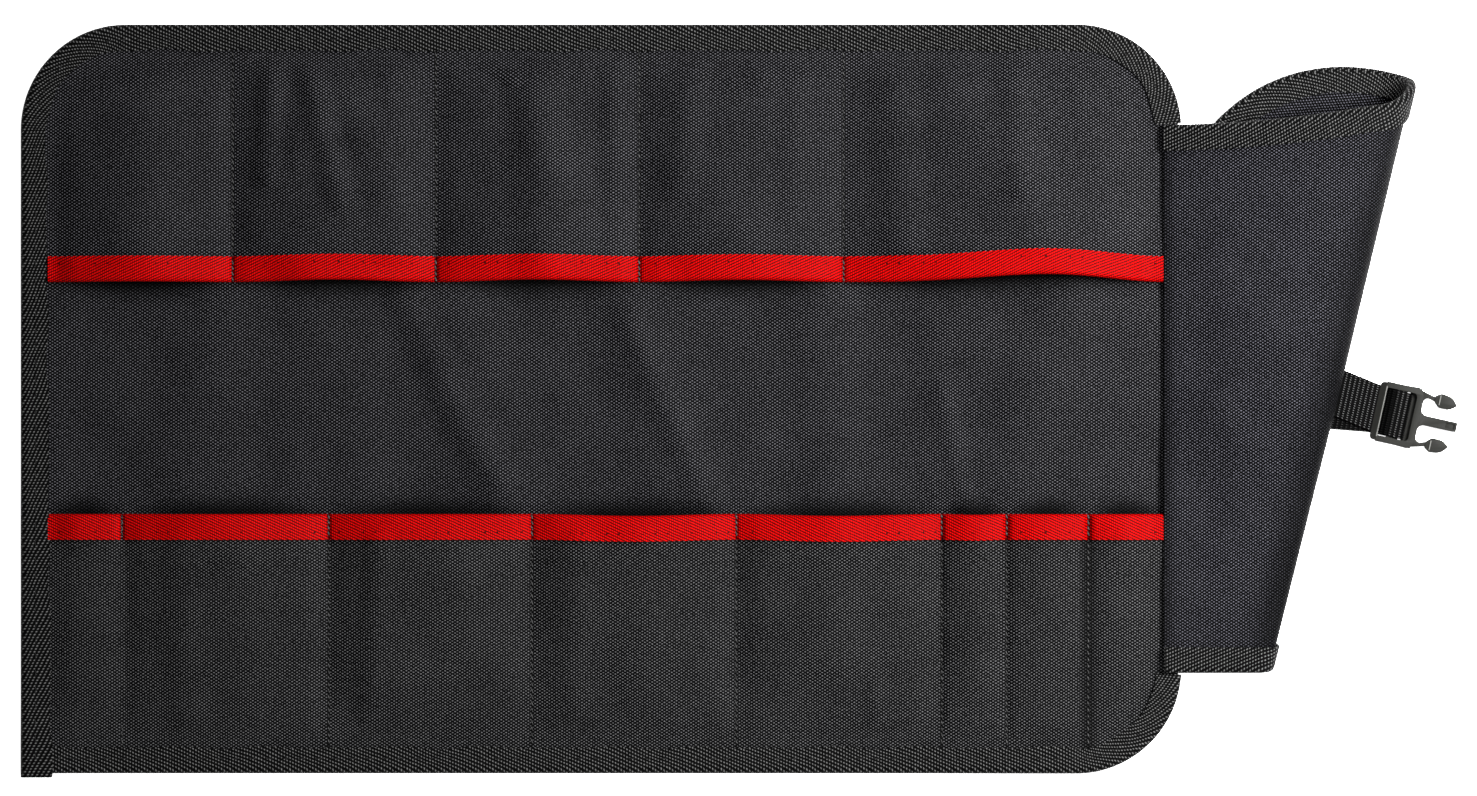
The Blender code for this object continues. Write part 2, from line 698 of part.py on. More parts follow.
def make_strap():
    """The strap: from its sewn end under the panel to the plug, round its bar and back as a short tail."""
    path = []
    for x in steps(STRAP_START, PLUG_X, STRAP_STEPS):
        slope = (strap_line(x + GAP) - strap_line(x - GAP)) / (2 * GAP)
        sideways = Vector((-slope, 1, 0)).normalized()
        path.append((Vector((x, strap_line(x), strap_top(x) - WEBBING / 2)), sideways))
    square = plug_place(0, 1, 0) - plug_place(0, 0, 0)
    upper = FLOOR_LAYER + LAYER
    crown = FLOOR_LAYER + 2 * LOOP_RADIUS
    path.append((plug_place(REAR_BAR + GAP, 0, upper), square))
    path.append((plug_place(WEB_BAR_START - GAP, 0, crown), square))
    for turn in steps(0.0, math.pi, LOOP_STEPS):
        along = LOOP_CENTRE + LOOP_RADIUS * math.sin(turn)
        height = FLOOR_LAYER + LOOP_RADIUS * (1 + math.cos(turn))
        path.append((plug_place(along, 0, height), square))
    for share in steps(0.0, 1.0, TAIL_STEPS)[1:]:
        along = mix(LOOP_CENTRE, -TAIL_LENGTH, share)
        astray = min(along + TAPE, 0.0) * math.tan(TAIL_TURN)
        path.append((plug_place(along, astray, FLOOR_LAYER), square))
    return make_webbing("strap", path, STRAP_WIDTH, black_webbing)


def block(name, low, high):
    """A box between two corners."""
    bm = bmesh.new()
    bmesh.ops.create_cube(bm, size=1.0)
    middle = [(a + b) / 2 for a, b in zip(low, high)]
    for vert in bm.verts:
        vert.co = [centre + unit * (b - a) for centre, unit, a, b in zip(middle, vert.co, low, high)]
    mesh = bpy.data.meshes.new(name)
    bm.to_mesh(mesh)
    bm.free()
    return add_object(name, mesh, cutters)


def leaf(name, low, height, outline):
    """A flat outline raised to a height, from a 2D curve."""
    curve = bpy.data.curves.new(name, "CURVE")
    curve.dimensions = "2D"
    curve.fill_mode = "BOTH"
    curve.extrude = height / 2
    spline = curve.splines.new("POLY")
    spline.points.add(len(outline) - 1)
    for point, (x, y) in zip(spline.points, outline):
        point.co = (x, y, 0, 1)
    spline.use_cyclic_u = True
    drawn = add_object(name, curve, cutters)
    bpy.context.view_layer.update()
    mesh = bpy.data.meshes.new_from_object(drawn.evaluated_get(bpy.context.evaluated_depsgraph_get()))
    bpy.data.objects.remove(drawn)
    bm = bmesh.new()
    bm.from_mesh(mesh)
    bmesh.ops.remove_doubles(bm, verts=bm.verts, dist=MERGE)
    bmesh.ops.translate(bm, verts=bm.verts, vec=(0, 0, low + height / 2))
    bmesh.ops.recalc_face_normals(bm, faces=bm.faces)
    bm.to_mesh(mesh)
    bm.free()
    return add_object(name, mesh, cutters)


def combine(name, base, others, operation, material):
    """One solid from a base and what is joined to it or cut from it."""
    base.name = name
    for other in others:
        boolean = base.modifiers.new(operation.lower(), "BOOLEAN")
        boolean.operation = operation
        boolean.solver = "EXACT"
        boolean.object = other
        other.hide_render = True
        other.display_type = "WIRE"
    bpy.context.view_layer.update()
    mesh = bpy.data.meshes.new_from_object(base.evaluated_get(bpy.context.evaluated_depsgraph_get()))
    bpy.data.objects.remove(base)
    made = add_object(name, mesh, parts, material)
    mesh.shade_flat()
    return made


def plug_head(side):
    """The leaf-shaped barb at the end of an arm, as an outline."""
    outer = PLUG_WIDTH / 2 - HEAD_INSET
    return [
        (HEAD_START + point.along * HEAD_LENGTH, side * (outer - point.inward * HEAD_WIDTH))
        for point in HEAD_OUTLINE
    ]


def make_buckle_plug():
    """The plug: a frame with two bars, two springy arms with barbed heads, and a guide between them."""
    half = PLUG_WIDTH / 2
    deck = (PLUG_HEIGHT - ARM_HEIGHT) / 2
    front_start = LOOP_CENTRE + LOOP_RADIUS + WEBBING / 2 + GAP
    base = block("frame", (0, -half, 0), (PLUG_FRAME_LENGTH, half, PLUG_HEIGHT))
    window = block(
        "window", (-GAP, -half + RAIL_WIDTH, -GAP), (front_start, half - RAIL_WIDTH, PLUG_HEIGHT + GAP)
    )
    rear_low = WEBBING + LAYER + GAP
    rear = block(
        "rear_bar", (0, -half + RAIL_WIDTH / 2, rear_low), (REAR_BAR, half - RAIL_WIDTH / 2, PLUG_HEIGHT)
    )
    web_bar = block(
        "web_bar",
        (WEB_BAR_START, -half + RAIL_WIDTH / 2, WEB_BAR_BOTTOM),
        (WEB_BAR_START + WEB_BAR, half - RAIL_WIDTH / 2, WEB_BAR_TOP),
    )
    guide = block(
        "guide",
        (PLUG_FRAME_LENGTH - GAP, -GUIDE_WIDTH / 2, deck),
        (PLUG_LENGTH, GUIDE_WIDTH / 2, deck + ARM_HEIGHT),
    )
    joined = [rear, web_bar, guide]
    for side in (-1, 1):
        outer = half - ARM_WIDTH / 2
        inner = outer - ARM_WIDTH
        root = PLUG_FRAME_LENGTH - GAP
        arm = (
            (root, side * outer),
            (HEAD_START + HEAD_LENGTH / 4, side * (outer - ARM_WIDTH / 2)),
            (HEAD_START + HEAD_LENGTH / 4, side * (inner - ARM_WIDTH / 2)),
            (root, side * inner),
        )
        joined.append(leaf(f"arm_{side}", deck, ARM_HEIGHT, arm))
        joined.append(leaf(f"head_{side}", (PLUG_HEIGHT - HEAD_HEIGHT) / 2, HEAD_HEIGHT, plug_head(side)))
    framed = combine("framed", base, [window], "DIFFERENCE", None)
    plug = combine("buckle_plug", framed, joined, "UNION", black_plastic)
    plug.location = plug_place(0, 0, 0)
    plug.rotation_euler.z = -STRAP_TURN
    return plug


def socket_floor():
    """Where the socket's strap is sewn to the flap, and the height of the cloth's upper face there."""
    x = ROOT_X + FOLD_REACH - SOCKET_BACK
    far = x + SOCKET_STRAP_LENGTH + SOCKET_LENGTH
    return x, SOCKET_UP, CLOTH + FLAP_EDGE_ROOM + strap_hump(far, SOCKET_UP - SOCKET_WIDTH / 2)


def make_buckle_socket():
    """The socket: a plain sleeve with an open mouth and a bar for its strap."""
    x, y, floor = socket_floor()
    half = SOCKET_WIDTH / 2
    base = block("sleeve", (0, -half, 0), (SOCKET_LENGTH, half, SOCKET_HEIGHT))
    mouth = block(
        "mouth",
        (SOCKET_LENGTH - SOCKET_DEPTH, -half + SOCKET_WALL, SOCKET_WALL),
        (SOCKET_LENGTH + GAP, half - SOCKET_WALL, SOCKET_HEIGHT - SOCKET_WALL),
    )
    slot = block(
        "slot",
        (SOCKET_BAR, -STRAP_WIDTH / 2 - GAP, -GAP),
        (SOCKET_BAR + SOCKET_LOOP + WEBBING / 2, STRAP_WIDTH / 2 + GAP, SOCKET_HEIGHT + GAP),
    )
    rear_step = block(
        "rear_step",
        (-GAP, -STRAP_WIDTH / 2 - GAP, SOCKET_BAR + LAYER),
        (SOCKET_BAR + GAP, STRAP_WIDTH / 2 + GAP, SOCKET_HEIGHT + GAP),
    )
    rear_foot = block(
        "rear_foot",
        (-GAP, -STRAP_WIDTH / 2 - GAP, -GAP),
        (SOCKET_BAR + GAP, STRAP_WIDTH / 2 + GAP, LAYER),
    )
    socket = combine("buckle_socket", base, [mouth, slot, rear_step, rear_foot], "DIFFERENCE", black_plastic)
    socket.location = (x + SOCKET_STRAP_LENGTH, y, floor + GAP)
    return socket


def make_socket_strap():
    """The short strap that loops round the socket's bar, both ends sewn to the flap's outer face."""
    x, y, floor = socket_floor()
    low = floor + GAP + FLOOR_LAYER
    bar_x = x + SOCKET_STRAP_LENGTH
    turn_x = bar_x + SOCKET_BAR - GAP
    sideways = Vector((0, 1, 0))
    path = [(Vector((x, y, low)), sideways), (Vector((bar_x - LAYER, y, low)), sideways)]
    for turn in steps(0.0, math.pi, LOOP_STEPS):
        height = low + SOCKET_LOOP * (1 - math.cos(turn))
        path.append((Vector((turn_x + SOCKET_LOOP * math.sin(turn), y, height)), sideways))
    path.append((Vector((bar_x - LAYER, y, low + 2 * SOCKET_LOOP)), sideways))
    path.append((Vector((x + LAYER, y, low + LAYER)), sideways))
    path.append((Vector((x, y, low + LAYER)), sideways))
    return make_webbing("socket_strap", path, STRAP_WIDTH, black_webbing)


clear_scene()
parts = bpy.data.collections.new("tool_roll")
cutters = bpy.data.collections.new("cutters")
for collection in (parts, cutters):
    bpy.context.scene.collection.children.link(collection)

black_cloth = finish("black_cloth", color=(0.022, 0.022, 0.026), roughness=0.62)
black_tape = finish("black_tape", color=(0.014, 0.014, 0.015), roughness=0.75)
red_tape = finish("red_tape", color=(0.55, 0.012, 0.018), roughness=0.62)
black_webbing = finish("black_webbing", color=(0.012, 0.012, 0.013), roughness=0.8)
black_plastic = finish("black_plastic", color=(0.04, 0.042, 0.042), roughness=0.42)

make_back_panel()
make_pocket_row("upper_pockets", UPPER_POCKETS, UPPER_MOUTH, True)
make_pocket_row("lower_pockets", LOWER_POCKETS, LOWER_MOUTH, False)
make_mouth_tape("upper_mouth_tape", UPPER_POCKETS, UPPER_MOUTH, True)
make_mouth_tape("lower_mouth_tape", LOWER_POCKETS, LOWER_MOUTH, False)
make_long_binding()
make_bottom_binding()
make_flap()
make_flap_binding()
make_strap()
make_buckle_plug()
make_socket_strap()
make_buckle_socket()
for cutter in list(cutters.objects):
    bpy.data.objects.remove(cutter)
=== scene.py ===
import math
from collections import namedtuple

import bmesh
import bpy
import numpy as np
from mathutils import Matrix, Vector


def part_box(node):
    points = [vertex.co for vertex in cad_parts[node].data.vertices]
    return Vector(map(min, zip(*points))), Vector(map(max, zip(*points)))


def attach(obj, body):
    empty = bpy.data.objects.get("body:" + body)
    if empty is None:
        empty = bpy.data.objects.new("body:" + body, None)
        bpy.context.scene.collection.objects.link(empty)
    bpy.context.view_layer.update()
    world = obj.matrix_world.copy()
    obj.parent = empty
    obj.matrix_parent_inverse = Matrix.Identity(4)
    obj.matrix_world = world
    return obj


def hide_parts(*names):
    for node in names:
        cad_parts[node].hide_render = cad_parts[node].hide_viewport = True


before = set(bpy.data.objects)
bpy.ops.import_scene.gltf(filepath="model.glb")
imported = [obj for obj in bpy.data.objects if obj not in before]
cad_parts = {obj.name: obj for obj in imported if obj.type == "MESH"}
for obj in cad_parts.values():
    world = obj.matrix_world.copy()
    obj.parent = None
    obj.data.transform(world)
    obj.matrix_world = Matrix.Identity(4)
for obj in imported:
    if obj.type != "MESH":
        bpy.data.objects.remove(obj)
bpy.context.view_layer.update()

# The view
# The roll lies on a white table that glows a little, and is seen from straight above through a long lens, so
# that its raised flap keeps its place. A wide soft lamp stands on its right, weaker ones on its long sides.
VIEW_DISTANCE = 6.0
VIEW_SPAN = 0.6317
VIEW_CENTRE = (0.0588, 0.0004)
FLOOR_SIZE = 5.0
FLOOR_DROP = 0.0004
FLOOR_GREY = 0.90
FLOOR_GLOW = 0.9
ROOM_LIGHT = 0.35
Lamp = namedtuple("Lamp", "name place size power")
LAMPS = (
    Lamp("right_lamp", (0.66, 0.14, 0.74), 0.30, 36.0),
    Lamp("upper_lamp", (0.25, 0.90, 0.85), 0.60, 10.0),
    Lamp("lower_lamp", (0.25, -0.95, 0.85), 0.60, 9.0),
)

camera_data = bpy.data.cameras.new("view")
camera_data.lens = camera_data.sensor_width * VIEW_DISTANCE / VIEW_SPAN
camera_data.clip_end = 2 * VIEW_DISTANCE
camera = bpy.data.objects.new("view", camera_data)
camera.location = (*VIEW_CENTRE, VIEW_DISTANCE)
bpy.context.scene.collection.objects.link(camera)
bpy.context.scene.camera = camera

for lamp in LAMPS:
    bpy.ops.object.light_add(type="AREA", location=lamp.place)
    light = bpy.context.active_object
    light.name = lamp.name
    light.data.shape = "DISK"
    light.data.size = lamp.size
    light.data.energy = lamp.power
    light.rotation_euler = (Vector((*VIEW_CENTRE, 0)) - light.location).to_track_quat("-Z", "Y").to_euler()

world = bpy.data.worlds.new("room")
world.use_nodes = True
world.node_tree.nodes["Background"].inputs["Color"].default_value = (1.0, 1.0, 1.0, 1.0)
world.node_tree.nodes["Background"].inputs["Strength"].default_value = ROOM_LIGHT
bpy.context.scene.world = world
bpy.context.scene.view_settings.view_transform = "Standard"

bpy.ops.object.select_all(action="DESELECT")
bpy.ops.mesh.primitive_plane_add(size=FLOOR_SIZE)
floor = bpy.context.active_object
floor.name = "table_top"
floor.data.transform(Matrix.Translation((*VIEW_CENTRE, -FLOOR_DROP)))
floor_material = bpy.data.materials.new("white_table")
floor_material.use_nodes = True
floor_shader = floor_material.node_tree.nodes["Principled BSDF"]
floor_shader.inputs["Base Color"].default_value = (FLOOR_GREY, FLOOR_GREY, FLOOR_GREY, 1.0)
floor_shader.inputs["Roughness"].default_value = 0.7
floor_shader.inputs["Emission Color"].default_value = (1.0, 1.0, 1.0, 1.0)
floor_shader.inputs["Emission Strength"].default_value = FLOOR_GLOW
floor.data.materials.append(floor_material)

# The panel
# One layer of polyester, woven plain from thick flat yarns and coated on its underside. It lies flat on the
# table, lifted by its own edge tape, by the flap tucked under its right end and by the strap sewn on it.
CLOTH = 0.0010
TAPE = 0.0010
WEBBING = 0.0013
GAP = 0.0004
FLAP_TAPE_GAP = 0.0006
BINDING_WIDTH = 0.011
CORNER_RADIUS = 0.045
EDGE_FADE = 0.024
RAMP_LENGTH = 0.085
YARN_ACROSS = 0.00104
YARN_ALONG = 0.000674
CLOTH_STEP = 0.0024
PANEL_LINES = 132
END_LINES = 14
SEAM_LINES = (0.0004, 0.0008, 0.0013, 0.0022)
LINE_GAP = 0.00025
CREASE = math.radians(50)

tape_low, tape_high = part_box("long_binding")
HALF_LENGTH = -tape_low[0]
HALF_WIDTH = tape_high[1]
TUCK_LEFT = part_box("flap_binding")[0][0]
EDGE_ROOM = TAPE + GAP
FLAP_EDGE_ROOM = TAPE + FLAP_TAPE_GAP + GAP
FLAP_STACK = 2 * TAPE + CLOTH + 2 * FLAP_TAPE_GAP + GAP

STRAP_WIDTH = 0.020
STRAP_TURN = math.radians(12.5)
STRAP_BEND_LENGTH = 0.080
STRAP_LENGTH = 0.165
STRAP_OFFSET = -0.0010
STRAP_OUT = 0.0166
STRAP_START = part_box("strap")[0][0]
STRAP_MIDDLE = STRAP_START + STRAP_LENGTH / 2
PLUG_X = STRAP_START + STRAP_LENGTH
TAIL_LENGTH = 0.036
HUMP_HALF = 0.018
HUMP_FADE = 0.026

Fold = namedtuple("Fold", "start_x start_y end_x end_y rise width")

# Ends, rises and half widths of the panel's soft folds
PANEL_FOLDS = (
    Fold(-0.0843, 0.0416, -0.0456, -0.0352, 0.00216, 0.012),
    Fold(0.0109, 0.0336, 0.0446, -0.0416, 0.0018, 0.010),
)
FINE_PANEL_FOLDS = (
    Fold(-0.1623, 0.0423, -0.1760, -0.0346, 0.0020, 0.030),
    Fold(-0.1195, 0.0423, -0.1041, -0.0346, 0.0013, 0.022),
    Fold(-0.0648, 0.0423, -0.0413, -0.0346, 0.0022, 0.026),
    Fold(0.0130, 0.0423, 0.0336, -0.0346, 0.0022, 0.026),
    Fold(0.0943, 0.0423, 0.1011, -0.0346, 0.0017, 0.022),
    Fold(0.1405, 0.0295, 0.1439, -0.0346, 0.0010, 0.014),
    Fold(0.1970, 0.0423, 0.1756, -0.0346, 0.0018, 0.022),
    Fold(0.1450, 0.0050, 0.1560, -0.0460, 0.0013, 0.007),
)


def ease(share):
    """A smooth step from 0 to 1."""
    share = np.clip(share, 0.0, 1.0)
    return share * share * (3 - 2 * share)


def mix(low, high, share):
    """The value at a share of the way from low to high."""
    return low + (high - low) * share


def edge_distance(x, y):
    """The distance inwards from the panel's bound outline, whose lower left corner is square."""
    past_x = np.abs(x) - HALF_LENGTH + CORNER_RADIUS
    past_y = np.abs(y) - HALF_WIDTH + CORNER_RADIUS
    rounded = (past_x > 0) & (past_y > 0) & ~((x < 0) & (y < 0))
    straight = np.minimum(HALF_LENGTH - np.abs(x), HALF_WIDTH - np.abs(y))
    return np.where(rounded, CORNER_RADIUS - np.hypot(past_x, past_y), straight)


def corner_overlap(x, y):
    """1 at the square corner, where the left tape laps over the lower one, and 0 away from it."""
    beside = ease((x + HALF_LENGTH - BINDING_WIDTH - GAP) / EDGE_FADE)
    above = ease((y + HALF_WIDTH - BINDING_WIDTH - GAP) / EDGE_FADE)
    return (1 - beside) * (1 - above)


def strap_line(x):
    """The strap's centre line: straight out of the fold, then turning square to the panel."""
    slope = -math.tan(STRAP_TURN)
    start = STRAP_MIDDLE - STRAP_BEND_LENGTH
    bent = np.clip(x, start, STRAP_MIDDLE) - start
    curve = bent * bent / (2 * STRAP_BEND_LENGTH) - STRAP_BEND_LENGTH / 2
    crossing = PLUG_X - STRAP_OUT * math.cos(STRAP_TURN)
    return STRAP_OFFSET + slope * (STRAP_MIDDLE - crossing + curve + np.maximum(x - STRAP_MIDDLE, 0.0))


def strap_top(x):
    """The height of the strap's upper face: one layer, or two where its tail lies under it."""
    doubled = ease((x - PLUG_X + TAIL_LENGTH + HUMP_FADE) / HUMP_FADE)
    return WEBBING + (WEBBING + GAP) * doubled


def strap_hump(x, y):
    """How far cloth is lifted where it lies over the strap."""
    across = np.abs(y - strap_line(x)) * math.cos(STRAP_TURN)
    beside = ease((across - HUMP_HALF) / HUMP_FADE)
    before = ease((STRAP_START - HUMP_FADE / 2 - x) / HUMP_FADE)
    return (strap_top(x + HUMP_FADE) + GAP) * (1 - beside) * (1 - before)


def fold_rise(x, y, folds):
    """The height of soft folds at points, each highest along its own line."""
    total = np.zeros(np.broadcast(x, y).shape)
    for fold in folds:
        run_x, run_y = fold.end_x - fold.start_x, fold.end_y - fold.start_y
        past_x, past_y = x - fold.start_x, y - fold.start_y
        share = np.clip((past_x * run_x + past_y * run_y) / (run_x * run_x + run_y * run_y), 0.0, 1.0)
        away = np.hypot(past_x - share * run_x, past_y - share * run_y)
        total = total + fold.rise * (1 - ease(away / fold.width))
    return total


RIPPLE_HEIGHT = 0.00016
RIPPLE_LENGTHS = (0.021, 0.028, 0.037, 0.049)
RIPPLES_EACH = 3
RIPPLE_SEED = 7
ripple_turns = np.random.default_rng(RIPPLE_SEED).uniform(
    0, 2 * math.pi, (len(RIPPLE_LENGTHS), RIPPLES_EACH, 2)
)


def ripples(x, y):
    """The slight unevenness of a cloth that has been rolled up many times, never below 0."""
    total = np.zeros(np.broadcast(x, y).shape)
    for length, turns in zip(RIPPLE_LENGTHS, ripple_turns):
        for heading, phase in turns:
            wave = 2 * math.pi * (x * math.cos(heading) + y * math.sin(heading)) / length
            total = total + RIPPLE_HEIGHT * (0.5 + 0.5 * np.sin(wave + phase))
    return total


def panel_underside(x, y):
    """The panel's lower face: flat on the table, up at its bound edges and over the tucked flap."""
    inside = ease((edge_distance(x, y) - BINDING_WIDTH) / EDGE_FADE)
    ramp = (FLAP_STACK + GAP) * ease((x - TUCK_LEFT + RAMP_LENGTH) / RAMP_LENGTH)
    lapped = EDGE_ROOM * corner_overlap(x, y)
    folds = fold_rise(x, y, PANEL_FOLDS) + (fold_rise(x, y, FINE_PANEL_FOLDS) + ripples(x, y)) * inside
    return EDGE_ROOM * (1 - inside) + ramp + lapped + strap_hump(x, y) + folds


def side_line(x, inset, square_left):
    """Half the panel's width at a place along it, inside its bound outline."""
    radius = CORNER_RADIUS - inset
    past = np.clip(np.abs(x) - HALF_LENGTH + CORNER_RADIUS, 0.0, radius)
    drop = radius - np.sqrt(radius * radius - past * past)
    if square_left:
        drop = np.where(x < 0, 0.0, drop)
    return HALF_WIDTH - inset - drop


def grid_lines(low, high, step, near=()):
    """Lines of a cloth's grid: evenly spaced, with a few closer ones beside each seam."""
    lines = list(np.linspace(low, high, max(int(round((high - low) / step)), 1) + 1))
    for place in near:
        lines.append(place)
        for away in SEAM_LINES:
            lines += [place - away, place + away]
    lines = np.unique(np.round(np.clip(lines, low, high), 6))
    keep = np.concatenate(([True], np.diff(lines) > LINE_GAP))
    keep[-1] = True
    return lines[keep]


def end_lines(radius, count):
    """Distances from an end at which the lines of a round corner lie, closest together at its end."""
    return radius * (1 - np.cos(np.linspace(0, math.pi / 2, count)))


def points_of(piece):
    """The points of a piece's mesh, one row each."""
    points = np.empty(len(piece.data.vertices) * 3)
    piece.data.vertices.foreach_get("co", points)
    return points.reshape(-1, 3)


def mark(piece, name, values):
    """Writes values as an attribute of a piece's points, for its material to read."""
    attribute = piece.data.attributes.new(name, "FLOAT", "POINT")
    attribute.data.foreach_set("value", np.clip(values, 0.0, 1.0))


def lay_cloth(name, lines_u, lines_v, place, wall, side, material):
    """A sheet laid out from a flat grid whose points go where place says, with a wall and a flat pattern map.

    place takes each point's two lines and gives its place in space and its place on the flat cloth.
    """
    bpy.ops.object.select_all(action="DESELECT")
    bpy.ops.mesh.primitive_grid_add(x_subdivisions=len(lines_u) - 1, y_subdivisions=len(lines_v) - 1, size=1)
    sheet = bpy.context.active_object
    sheet.name = name
    mesh = sheet.data
    mesh.name = name
    points = points_of(sheet)
    column = np.rint((points[:, 0] + 0.5) * (len(lines_u) - 1)).astype(int)
    row = np.rint((points[:, 1] + 0.5) * (len(lines_v) - 1)).astype(int)
    placed, flat = place(np.asarray(lines_u)[column], np.asarray(lines_v)[row])
    mesh.vertices.foreach_set("co", np.stack(placed, axis=1).ravel())
    corners = np.empty(len(mesh.loops), dtype=int)
    mesh.loops.foreach_get("vertex_index", corners)
    mesh.uv_layers[0].data.foreach_set("uv", np.stack(flat, axis=1)[corners].ravel())
    mesh.uv_layers[0].name = "flat_cloth"
    mesh.materials.append(material)
    mesh.update()
    solidify = sheet.modifiers.new("wall", "SOLIDIFY")
    solidify.thickness = wall
    solidify.offset = side
    solidify.use_even_offset = True
    bpy.ops.object.modifier_apply(modifier=solidify.name)
    bpy.ops.object.shade_smooth_by_angle(angle=CREASE)
    return sheet


def add_node(tree, kind, inputs=None, output=0, **settings):
    """A shader node with its settings and inputs, as the socket that it gives."""
    made = tree.nodes.new(kind)
    for key, value in settings.items():
        setattr(made, key, value)
    for key, value in (inputs or {}).items():
        if isinstance(value, bpy.types.NodeSocket):
            tree.links.new(value, made.inputs[key])
        else:
            made.inputs[key].default_value = value
    return made.outputs[output]


def calculate(tree, operation, first, second=0.0, third=0.0):
    """A Math node."""
    return add_node(tree, "ShaderNodeMath", {0: first, 1: second, 2: third}, operation=operation)


def start_group(name, inputs, outputs):
    """A node group with number inputs that have defaults, one pattern position, and number outputs."""
    group = bpy.data.node_groups.new(name, "ShaderNodeTree")
    group.interface.new_socket("Position", in_out="INPUT", socket_type="NodeSocketVector")
    for socket, default in inputs.items():
        made = group.interface.new_socket(socket, in_out="INPUT", socket_type="NodeSocketFloat")
        made.default_value = default
    for socket in outputs:
        group.interface.new_socket(socket, in_out="OUTPUT", socket_type="NodeSocketFloat")
    entry = group.nodes.new("NodeGroupInput")
    leave = group.nodes.new("NodeGroupOutput")
    return group, entry.outputs, leave.inputs


def use_group(tree, group, inputs):
    """A node group placed in a material, as the sockets that it gives."""
    made = tree.nodes.new("ShaderNodeGroup")
    made.node_tree = group
    for key, value in inputs.items():
        if isinstance(value, bpy.types.NodeSocket):
            tree.links.new(value, made.inputs[key])
        else:
            made.inputs[key].default_value = value
    return made.outputs


def start_material(name, on_cloth=True):
    """A new material, with its node tree and each point's place on the flat cloth, or on the piece itself."""
    material = bpy.data.materials.new(name)
    material.use_nodes = True
    tree = material.node_tree
    if on_cloth:
        return material, tree, add_node(tree, "ShaderNodeUVMap", output="UV", uv_map="flat_cloth")
    return material, tree, add_node(tree, "ShaderNodeTexCoord", output="Object")


def finish_surface(tree, colour, relief=None, roughness=0.6, specular=0.02):
    """Gives a material's shader its colour, its sheen and, where it has one, the relief of its pattern."""
    shader = tree.nodes["Principled BSDF"]
    tree.links.new(colour, shader.inputs["Base Color"])
    if relief:
        tree.links.new(add_node(tree, "ShaderNodeBump", relief, output="Normal"), shader.inputs["Normal"])
    shader.inputs["Roughness"].default_value = roughness
    shader.inputs["Specular IOR Level"].default_value = specular


def split(tree, vector):
    """A vector's separate parts, by their names."""
    made = tree.nodes.new("ShaderNodeSeparateXYZ")
    tree.links.new(vector, made.inputs[0])
    return made.outputs


def unsteady(tree, given, scale):
    """A group's position, moved a little by noise of a scale, so that no yarn runs quite straight."""
    noise_inputs = {"Vector": given["Position"], "Scale": scale, "Detail": 2.0}
    noise = add_node(tree, "ShaderNodeTexNoise", noise_inputs, output="Color")
    centred = add_node(tree, "ShaderNodeVectorMath", {0: noise, 1: (0.5, 0.5, 0.5)}, operation="SUBTRACT")
    moved = add_node(tree, "ShaderNodeVectorMath", {0: centred, "Scale": given["Wander"]}, operation="SCALE")
    return add_node(tree, "ShaderNodeVectorMath", {0: given["Position"], 1: moved}, operation="ADD")


def make_uneven(tree, level, noise, share):
    """A level with a share of a noise added about the noise's middle."""
    return calculate(tree, "MULTIPLY_ADD", calculate(tree, "SUBTRACT", noise, 0.5), share, level)


def colour_ramp(tree, level, stops):
    """The colour at a level, between stops of a level and a colour each, in rising order."""
    ramp = tree.nodes.new("ShaderNodeValToRGB")
    first, last = ramp.color_ramp.elements
    first.position, first.color = stops[0]
    last.position, last.color = stops[-1]
    for position, colour in stops[1:-1]:
        ramp.color_ramp.elements.new(position).color = colour
    tree.links.new(level, ramp.inputs[0])
    return ramp.outputs[0]


def darken(tree, colour, marked, strength):
    """A colour made darker where an attribute of the points marks it."""
    shade = add_node(tree, "ShaderNodeAttribute", output="Fac", attribute_name=marked)
    light = calculate(tree, "MULTIPLY_ADD", shade, -strength, 1.0)
    return add_node(tree, "ShaderNodeVectorMath", {0: colour, "Scale": light}, operation="SCALE")


def half_wave(tree, value, period):
    """A sine of a length, one half wave to each period."""
    turn = calculate(tree, "MULTIPLY", value, calculate(tree, "DIVIDE", math.pi, period))
    return calculate(tree, "SINE", turn)


YARN_WANDER = 0.00012
YARN_WANDER_SCALE = 260.0
SPECKLE_SCALE = 1300.0

# Yarns cross over and under by turns: Float is 1 on a yarn's crown and 0 in the hole between four of them
plain_weave, given, gives = start_group(
    "plain_weave", {"Across": YARN_ACROSS, "Along": YARN_ALONG, "Wander": YARN_WANDER}, ("Float", "Speckle")
)
position = unsteady(plain_weave, given, YARN_WANDER_SCALE)
parts = split(plain_weave, position)
over_across = half_wave(plain_weave, parts["X"], given["Across"])
over_along = half_wave(plain_weave, parts["Y"], given["Along"])
crossing = calculate(plain_weave, "MULTIPLY", over_across, over_along)
plain_weave.links.new(calculate(plain_weave, "MULTIPLY_ADD", crossing, 0.5, 0.5), gives["Float"])
speckle_inputs = {"Vector": position, "Scale": SPECKLE_SCALE, "Detail": 1.0}
speckle = add_node(plain_weave, "ShaderNodeTexNoise", speckle_inputs)
plain_weave.links.new(speckle, gives["Speckle"])

CLOTH_DARK = (0.0002, 0.0002, 0.0003, 1.0)
CLOTH_MIDDLE = (0.0009, 0.0009, 0.0010, 1.0)
CLOTH_LIGHT = (0.0585, 0.0585, 0.0615, 1.0)
CLOTH_LEVELS = (0.42, 0.66, 0.93)
SPECKLE_SHARE = 0.60
PATCH_SHARE = 0.12
PATCH_SCALE = 38.0
YARN_RELIEF = 0.00022
YARN_STRENGTH = 0.8
PAINTED_SHADE_STRENGTH = 0.98
SEAM_SHADE = 0.90
BLACK_TINT = (1.0, 0.99, 1.04)
WORN_TINT = (1.06, 1.06, 1.04)


